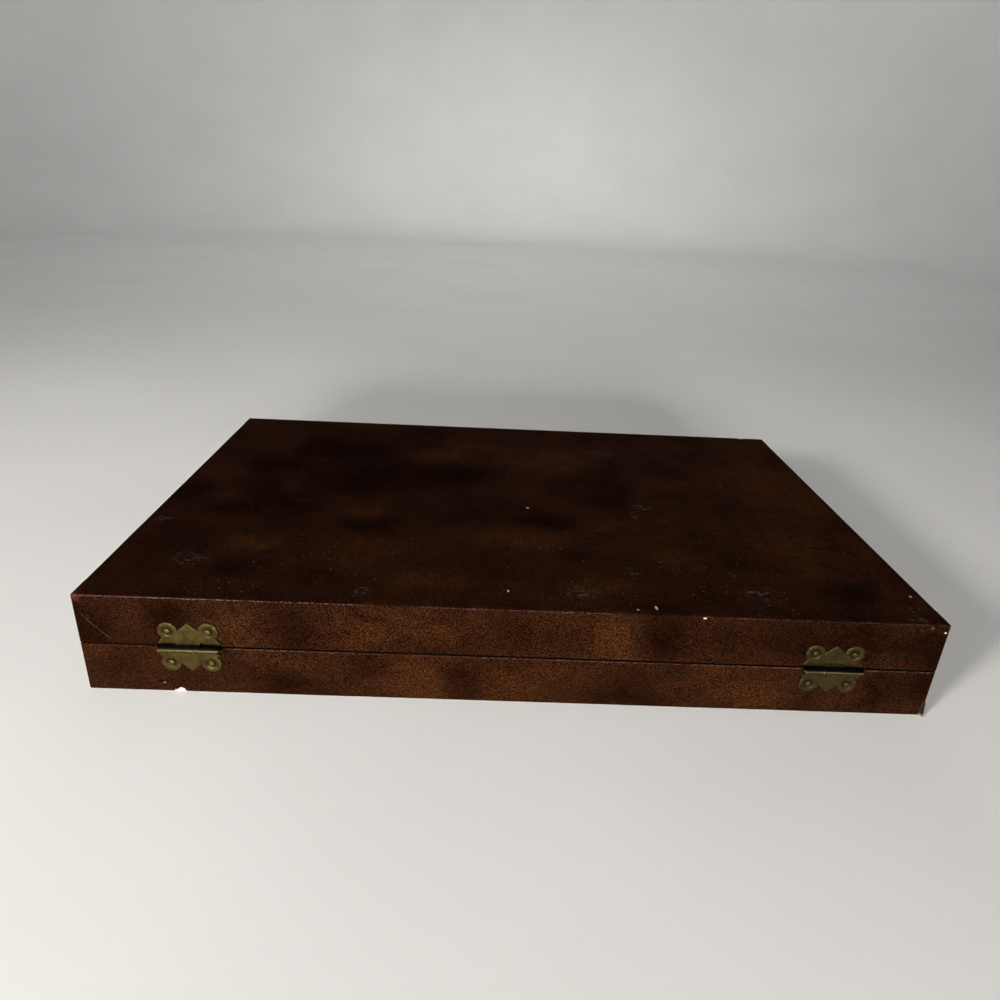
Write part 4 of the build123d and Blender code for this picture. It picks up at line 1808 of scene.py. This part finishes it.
def rounded_cube(side: float, radius: float, cuts: int,
                 press: Callable[[Vector, Vector], float]) -> Solid:
    """A cube with round edges whose faces can be pressed in.

    Args:
        side: The cube's side.
        radius: The radius of its edges.
        cuts: Cells along each side.
        press: Gives how far a place is pressed in, from the place and its face's direction.

    Returns:
        Points and faces.
    """
    points, faces = [], []
    half, core = side / 2, side / 2 - radius
    places = [-half + side * cut / cuts for cut in range(cuts + 1)]
    for axis in range(3):
        for sign in (-1, 1):
            faces += band(cuts + 1, cuts + 1, False, len(points))
            outward = Vector([sign if part == axis else 0 for part in range(3)])
            for across in places:
                for along in places:
                    place = outward * half
                    place[(axis + 1) % 3] = across
                    place[(axis + 2) % 3] = along
                    middle = Vector([max(-core, min(core, part)) for part in place])
                    out = (place - middle).normalized()
                    points.append(middle + out * radius - outward * press(place, outward))
    return np.array([tuple(point) for point in points]), faces


@dataclass
class Dice:
    """A pair of dice in the short compartment, with painted pips in round hollows."""

    side: float = 12.0 * MM
    radius: float = 1.7 * MM
    cuts: int = 30
    spread: float = 3.1 * MM
    pip: float = 1.15 * MM
    depth: float = 0.34 * MM
    paint: float = 0.06 * MM
    painted: float = 0.94
    places: tuple[Pair, ...] = ((108.8 * MM, 14.0), (125.8 * MM, -22.0))
    numbers: tuple[tuple[int, int, int], ...] = ((5, 3, 1), (4, 1, 5))
    across: float = 99.9 * MM
    height: float = 10.85 * MM

    def seats(self, top: int, front: int, side: int) -> list[Matrix]:
        """Where every pip of one die sits, its local z outwards.

        Args:
            top: The number on top.
            front: The number on the front.
            side: The number on the right.

        Returns:
            The pips' seats.
        """
        spots = [(-1, -1), (1, 1), (-1, 1), (1, -1), (-1, 0), (1, 0)]
        seats = []
        for number, outward in ((top, (0, 0, 1)), (7 - top, (0, 0, -1)), (front, (0, -1, 0)),
                                (7 - front, (0, 1, 0)), (side, (1, 0, 0)), (7 - side, (-1, 0, 0))):
            along = (0, 1, 0) if outward[0] else (1, 0, 0)
            face = seat_at(tuple(self.side / 2 * part for part in outward), along, outward)
            middle = [(0, 0)] if number % 2 else []
            seats += [face @ Matrix.Translation((x * self.spread, y * self.spread, 0.0))
                      for x, y in middle + spots[:number - number % 2]]
        return seats

    def hollow(self, seats: Sequence[Matrix], spot: Vector, outward: Vector) -> float:
        """How far a die's face is hollowed at a place by the nearest of the face's pips."""
        reach = min((spot - seat.translation).length / self.pip
                    for seat in seats if seat.col[2].xyz.dot(outward) > 0.9)
        return self.depth * sqrt(max(0.0, 1 - reach ** 2))

    def build(self) -> None:
        """Builds both dice as one piece and their pips as another."""
        parts, pips = [], []
        for (x, turn), numbers in zip(self.places, self.numbers):
            place = Matrix.Translation((x, self.across, self.height)) @ Matrix.Rotation(
                radians(turn), 4, "Z")
            seats = self.seats(*numbers)
            die = rounded_cube(self.side, self.radius, self.cuts, partial(self.hollow, seats))
            parts.append(seated(die, place))
            pips += [place @ seat for seat in seats]
        resin = CastResin("ivory_resin", (0.62, 0.54, 0.38), (0.82, 0.76, 0.60), clear=0.15)
        fit("dice_rounded", joined(parts), resin.material(), "base", "ivory", "dice", crisp=50.0)
        bowl = [(self.pip * share, self.paint - self.depth * sqrt(1 - share ** 2))
                for share in (self.painted * part for part in (0.0, 0.3, 0.6, 0.8, 0.92, 1.0))]
        bowl += [(self.pip * 0.9, -self.depth * 0.8), (0.0, -self.depth - 0.1 * MM)]
        paint = Paint("pip_paint", (0.006, 0.005, 0.005)).material()
        Repeater("dice_pips", turned_solid(bowl, 14), paint).build(pips, "base", "dark_checker")


@dataclass
class DoublingCube:
    """The doubling cube, with plain raised numbers."""

    side: float = 18.0 * MM
    radius: float = 2.3 * MM
    cuts: int = 18
    place: Point = (88.8 * MM, 99.9 * MM, 13.85 * MM)
    turn: float = -6.0
    digit_height: float = 8.6 * MM
    digit_depth: float = 0.14 * MM
    digit_bevel: float = 0.05 * MM
    digit_sink: float = 0.08 * MM
    # Each number with its face's direction and the direction that it is read in
    faces: tuple[tuple[str, Point, Point], ...] = (
        ("64", (0, 0, 1), (1, 0, 0)), ("2", (0, -1, 0), (1, 0, 0)), ("4", (1, 0, 0), (0, 1, 0)),
        ("8", (0, 1, 0), (-1, 0, 0)), ("16", (-1, 0, 0), (0, -1, 0)), ("32", (0, 0, -1), (1, 0, 0)))

    def number(self, text: str, seat: Matrix, paint: Material) -> None:
        """Makes one number on its face.

        Args:
            text: The number.
            seat: Its place on the face.
            paint: Its finish.
        """
        curve = bpy.data.curves.new(f"number_{text}", "FONT")
        curve.body = text
        curve.align_x, curve.align_y = "CENTER", "CENTER"
        curve.size = self.digit_height * (1.0 if len(text) > 1 else 1.25)
        curve.extrude = self.digit_depth
        curve.bevel_depth = self.digit_bevel
        curve.bevel_resolution = 1
        curve.resolution_u = 4
        mesh = baked(linked(f"number_{text}", curve), f"number_{text}")
        mesh.transform(seat)
        fit(f"doubling_cube_{text}", mesh, paint, "base", "dark_checker")

    def build(self) -> None:
        """Builds the cube and its six numbers."""
        resin = CastResin("cube_resin", (0.60, 0.52, 0.36), (0.82, 0.75, 0.58), clear=0.15)
        stand = Matrix.Translation(self.place) @ Matrix.Rotation(radians(self.turn), 4, "Z")
        cube = rounded_cube(self.side, self.radius, self.cuts, lambda spot, outward: 0.0)
        fit("doubling_cube_rounded", seated(cube, stand), resin.material(), "base", "ivory",
            "doubling_cube", crisp=50.0)
        paint = Paint("number_paint", (0.010, 0.007, 0.006)).material()
        for text, outward, along in self.faces:
            middle = tuple((self.side / 2 - self.digit_sink) * part for part in outward)
            self.number(text, stand @ seat_at(middle, along, outward), paint)


@dataclass
class DiceCups:
    """Two leather dice cups lying on the field, ribbed inside and sewn down one side."""

    length: float = 58.0 * MM
    radius: float = 16.2 * MM
    band: float = 0.8 * MM
    band_width: float = 4.5 * MM
    wall: float = 1.8 * MM
    floor: float = 2.4 * MM
    feet: Pair = (-150.4 * MM, -40.4 * MM)
    across: float = -96.9 * MM
    height: float = 22.05 * MM
    ribs: int = 7
    steps: int = 64
    band_stitches: int = 34
    band_sink: float = 0.06 * MM
    seam_stitches: int = 13
    seam_pitch: float = 3.6 * MM
    seam_angle: float = 0.09
    seam_sink: float = 0.04 * MM

    def profile(self) -> list[Pair]:
        """The cup's section from the foot's middle, outside, over the mouth and down inside."""
        r, band_r, wide, top = self.radius, self.radius + self.band, self.band_width, self.length
        inside, soft = r - self.wall, 0.45 * MM
        line = [(0.0, 0.5 * MM), (r - 4 * MM, 0.5 * MM), (r - 3 * MM, 0.0), (band_r - soft, 0.0),
                (band_r - 0.12 * MM, 0.14 * MM), (band_r, soft), (band_r, wide - soft),
                (band_r - 0.2 * MM, wide - 0.1 * MM), (r, wide + 0.05 * MM), (r, top / 2),
                (r, top - wide - 0.05 * MM), (band_r - 0.2 * MM, top - wide + 0.1 * MM),
                (band_r, top - wide + soft), (band_r, top - 0.7 * MM),
                (band_r - 0.25 * MM, top - 0.2 * MM), (band_r - 0.8 * MM, top),
                (inside + 0.6 * MM, top), (inside + 0.1 * MM, top - 0.3 * MM),
                (inside, top - 0.9 * MM)]
        pitch = (top - self.floor - 12.0 * MM) / (self.ribs - 1)
        for rib in range(self.ribs):
            middle = top - 7.0 * MM - rib * pitch
            line += [(inside - raised * MM, middle + beside * MM)
                     for raised, beside in ((0.0, 1.1), (0.55, 0.5), (0.7, 0.0), (0.55, -0.5),
                                            (0.0, -1.1))]
        return line + [(inside, self.floor + 0.4 * MM), (inside - 0.5 * MM, self.floor),
                       (0.0, self.floor)]

    def stitches(self) -> list[Matrix]:
        """Where the stitches of one cup are, round both bands and down the seam."""
        out = self.radius + self.band - self.band_sink
        places = [Matrix.Rotation(2 * pi * step / self.band_stitches, 4, "Z")
                  @ lying_at((out, 0, height), pi / 2)
                  for height in (self.band_width / 2, self.length - self.band_width / 2)
                  for step in range(self.band_stitches)]
        first = self.band_width + 2.5 * MM
        return places + [Matrix.Rotation(pi + row * self.seam_angle, 4, "Z")
                         @ lying_at((self.radius - self.seam_sink, 0, first + step * self.seam_pitch))
                         for row in (-1, 1) for step in range(self.seam_stitches)]

    def build(self) -> None:
        """Builds each cup with its stitches."""
        leather = Hide("cup_leather", (0.020, 0.008, 0.004), (0.085, 0.034, 0.015)).material()
        thread = Thread("cup_thread", (0.25, 0.17, 0.09), (0.55, 0.42, 0.26)).material()
        for side, foot in zip(Side, self.feet):
            node = f"dice_cup_{side.word}"
            lying = lying_at((foot, self.across, self.height))
            cup = seated(turned_solid(self.profile(), self.steps), lying)
            fit(f"{node}_sewn", cup, leather, "base", "cup_leather", node, crisp=45.0)
            places = [lying @ stitch for stitch in self.stitches()]
            rows = Repeater(f"{node}_stitches", Stitch().template(), thread)
            rows.build(places, "base", "cup_leather", spread=0.05)


# The studio


@dataclass
class Studio:
    """Pale floor, soft light, and the camera that the photograph was matched to."""

    camera_place: Point = (-16.7 * MM, -395.1 * MM, 218.6 * MM)
    pitch: float = 23.64
    roll: float = 2.24
    yaw: float = -1.37
    focal: float = 735.4
    frame_side: float = 1000.0
    sensor: float = 36.0
    floor_radius: float = 2.4
    sweep: float = 0.8
    backdrop_height: float = 2.6
    fill_height: float = 0.13
    surroundings: tuple[float, ...] = (0.62, 0.63, 0.64, 1)
    surroundings_strength: float = 0.08

    def camera(self) -> None:
        """Sets the camera at the photograph's place and angles."""
        level = Matrix(((1, 0, 0), (0, 0, -1), (0, 1, 0)))
        tilt, swing, lean = (Matrix.Rotation(radians(angle), 3, axis) for angle, axis in (
            (self.pitch, "X"), (self.yaw, "Y"), (self.roll, "Z")))
        flip = Matrix.Diagonal((1, -1, -1))
        turn = (flip @ lean @ swing @ tilt @ level).transposed().to_4x4()
        data = bpy.data.cameras.new("camera")
        data.sensor_fit = "HORIZONTAL"
        data.sensor_width = self.sensor
        data.lens = self.focal / self.frame_side * self.sensor
        data.clip_start = 0.01
        camera = linked("camera", data)
        camera.matrix_world = Matrix.Translation(self.camera_place) @ turn
        bpy.context.scene.camera = camera

    def floor(self) -> None:
        """Lays a plain pale floor that curves up into a backdrop all round."""
        g = Graph("studio_paint")
        here = g.place()
        cloud = g.noise(here, 5.0, 3.0)
        colour = g.ramp(cloud, (0.3, (0.70, 0.697, 0.685)), (0.7, (0.74, 0.737, 0.725)))
        dirt = g.noise(here, 300.0, 4.0, 0.6)
        material = g.dress(colour, 0.6, g.bump(dirt, 0.0002, 0.2))
        profile = [(0.0, 0.0)]
        profile += [(self.floor_radius + self.sweep * sin(angle), self.sweep * (1 - cos(angle)))
                    for angle in quarter(12)]
        profile.append((self.floor_radius + self.sweep, self.backdrop_height))
        mesh = cleaned(raw_mesh("floor", *turned_solid(profile, 96)), 180.0)
        mesh.materials.append(material)
        mesh.flip_normals()
        linked("floor", mesh)

    def lamp(self, name: str, place: Point, aim: Point, size: Pair, power: float,
             colour: Colour = (1, 1, 1), spread: float = 180.0) -> Object:
        """Hangs one soft lamp.

        Args:
            name: The lamp's name.
            place: Where it hangs.
            aim: What it points at.
            size: Its width and height.
            power: Its power in watts.
            colour: Its colour.
            spread: How wide its beam is, in degrees.

        Returns:
            The lamp.
        """
        data = bpy.data.lights.new(name, "AREA")
        data.spread = radians(spread)
        data.shape = "RECTANGLE"
        data.size, data.size_y = size
        data.energy = power
        data.color = colour
        lamp = linked(name, data)
        lamp.location = place
        lamp.visible_camera = False
        lamp.rotation_euler = (Vector(aim) - Vector(place)).to_track_quat("-Z", "Y").to_euler()
        return lamp

    def build(self) -> None:
        """Sets up camera, floor, lamps and the pale surroundings."""
        self.camera()
        self.floor()
        case = (0.0, 0.0, 0.02)
        self.lamp("key", (-0.85, -0.92, 0.51), case, (0.2, 0.2), 20.0, (1.0, 0.97, 0.93))
        self.lamp("front", (-0.10, -2.25, 0.36), case, (1.4, 0.30), 5.6, (1.0, 0.97, 0.94), 30.0)
        for name, x, y in (("rear", 0.1, 1.95), ("right", 1.95, 0.1)):
            fill = self.lamp(name, (x, y, self.fill_height), (0.0, 0.0, 0.09), (1.0, 0.08), 0.5,
                             (1.0, 0.98, 0.95), 10.0)
            fill.visible_glossy = False
        self.lamp("backdrop", (0.0, 1.2, 1.9), (0.0, 3.2, 0.7), (2.4, 0.6), 20.0)
        world = bpy.data.worlds.new("surroundings")
        world.use_nodes = True
        sky = world.node_tree.nodes["Background"].inputs
        sky["Color"].default_value = self.surroundings
        sky["Strength"].default_value = self.surroundings_strength
        bpy.context.scene.world = world
        bpy.context.scene.view_settings.view_transform = "Standard"


# The marks of age, and a painted sheen


def on_front(*rows: tuple[float, ...]) -> tuple[Blotch, ...]:
    """Patches on the hinged side: place along it and up it, reaches and strength, in mm."""
    return tuple(Blotch((x * MM, -CASE_WIDTH / 2, z * MM), (wide * MM, 12 * MM, high * MM), strength)
                 for x, z, wide, high, strength in rows)


def on_top(*rows: tuple[float, ...]) -> tuple[Blotch, ...]:
    """Patches on the top: place along and across it, reaches and strength, in mm."""
    return tuple(Blotch((x * MM, y * MM, CASE_HEIGHT), (wide * MM, deep * MM, 9 * MM), 1.8 * strength)
                 for x, y, wide, deep, strength in rows)


LID_WEATHER = Weather(
    dark_patches=on_front(
        (-184, 36, 16, 18, 1.2), (-151, 41, 15, 15, 1.7), (-96, 34, 19, 16, 1.0),
        (4, 38, 24, 20, 0.8), (24, 36, 18, 18, 1.2), (65, 36, 17, 18, 1.5),
        (94, 36, 24, 18, 0.7), (122, 36, 26, 20, 1.1), (155, 38, 26, 20, 1.7),
        (184, 36, 20, 20, 1.8),
    ) + on_top(
        (-120, 68, 40, 30, 1.0), (-135, -25, 40, 26, 1.0), (-83, 25, 26, 48, 0.6),
        (-73, -48, 26, 20, 1.0), (-33, 28, 34, 26, 0.9), (-50, 105, 32, 20, 0.7),
        (17, -35, 28, 20, 1.0), (53, -8, 26, 16, 0.8), (100, 10, 20, 16, 0.6),
        (-93, -102, 30, 18, 1.0), (-133, -98, 18, 14, 0.8), (30, -72, 22, 12, 0.7),
        (150, -98, 26, 14, 0.8), (-150, 32, 22, 20, 0.6), (110, -75, 24, 14, 0.6),
        (105, 45, 26, 20, 0.5), (-180, -8, 16, 24, 0.6), (-100, 30, 120, 110, 0.75),
    ),
    light_patches=on_front(
        (-122, 37, 26, 18, 1.3), (-66, 37, 30, 18, 2.0), (-38, 38, 20, 18, 1.1),
        (44, 38, 14, 18, 1.8),
    ) + on_top(
        (-43, 62, 30, 24, 1.0), (-157, -18, 22, 16, 0.9), (-80, -32, 20, 14, 1.0),
        (27, 58, 42, 34, 0.9), (65, 82, 34, 26, 0.8), (-3, -55, 44, 24, 0.9),
        (-130, -72, 26, 18, 1.0), (53, -35, 22, 16, 0.8), (43, -102, 34, 18, 0.9),
        (143, -55, 36, 22, 0.8), (160, 42, 32, 32, 0.7), (-37, -102, 32, 18, 0.9),
        # The broad patch at x 170 is a painted sheen that lightens the top towards its right side
        (83, -75, 28, 16, 0.7), (170, 20, 110, 160, 0.5),
    ),
    scuffs=on_top(
        (75, -10, 8, 6, 1.0), (68, -22, 3, 9, 0.5), (-2, 30, 2.4, 3, 0.8),
        (53, 92, 1.6, 5, 0.8), (131, 24, 2.6, 20, 0.45), (-181, -47, 5, 8, 0.7),
        (-153, -90, 16, 10, 0.45), (-68, -113, 6, 6, 0.8), (30, -108, 13, 7, 0.7),
        (57, -88, 6, 5, 0.5), (112, -104, 11, 8, 0.95), (150, -67, 4, 3, 0.7),
        (2, -62, 4, 6, 0.5), (60, 75, 14, 16, 0.35), (178, -112, 9, 3, 0.7),
        (177, -121, 6, 3.5, 0.9),
    ) + on_front((-182, 37, 5, 8, 0.12)),
    chips=on_top(
        (9, -17, 0.8, 1.0, 0.7), (-3.5, -109, 0.5, 1.0, 0.6), (61.5, -119, 0.6, 1.8, 0.7),
        (53, -121, 0.6, 0.6, 0.6), (184, -101, 0.7, 0.8, 0.8), (173.5, 124, 2.6, 1.6, 1.0),
    ) + on_front((81.5, 48.2, 0.9, 0.5, 1.0), (188.0, 45.2, 0.55, 0.55, 1.0),
                 (181.8, 47.3, 0.4, 0.35, 0.3)),
    folds=on_front((-189, 48.0, 4.5, 2.2, 0.45), (-187, 46.2, 1.6, 1.2, 0.4)),
    scratches=(
        ((-0.1866, -0.125, 0.0394), (-0.1829, -0.125, 0.0343)),
        ((-0.1829, -0.125, 0.0343), (-0.1759, -0.125, 0.0271)),
    ),
)
BASE_WEATHER = Weather(
    dark_patches=on_front(
        (-99, 6, 22, 10, 1.0), (-66, 18, 14, 12, 1.3), (-22, 9, 14, 17, 2.2),
        (44, 5, 32, 9, 1.3), (50, 15, 16, 14, 1.0), (166, 13, 20, 18, 1.8),
        (186, 14, 14, 16, 1.5), (-178, 14, 18, 14, 1.1), (-148, 8, 18, 10, 0.5),
    ),
    light_patches=on_front(
        (-44, 10, 18, 16, 1.2), (0, 8, 18, 14, 1.2), (98, 10, 40, 18, 1.4),
        (-108, 18, 24, 10, 1.3), (28, 19, 22, 9, 0.6),
    ),
    chips=on_front((-148.6, 0.3, 2.1, 2.3, 1.0), (-150.8, 0.3, 1.3, 1.0, 0.9),
                   (-155.7, 4.7, 0.75, 0.4, 0.33)),
)


def main() -> None:
    """Builds the dressed case, sub-assembly by sub-assembly."""
    logging.basicConfig(level=logging.INFO, format="%(name)s: %(message)s")
    Studio().build()
    Covering(Half.BASE, Leatherette("base_leatherette", BASE_WEATHER, (0.31, 0.12, 0.4))).build()
    Covering(Half.LID, Leatherette("lid_leatherette", LID_WEATHER)).build()
    TornFlap().build()
    brass = AgedBrass("aged_brass")
    Hinges(brass).build()
    Latches(brass).build()
    Carcass().build()
    for half in Half:
        PlayingSurface(half).build()
    Checkers().build()
    Dice().build()
    DoublingCube().build()
    DiceCups().build()


if __name__ == "__main__":
    main()
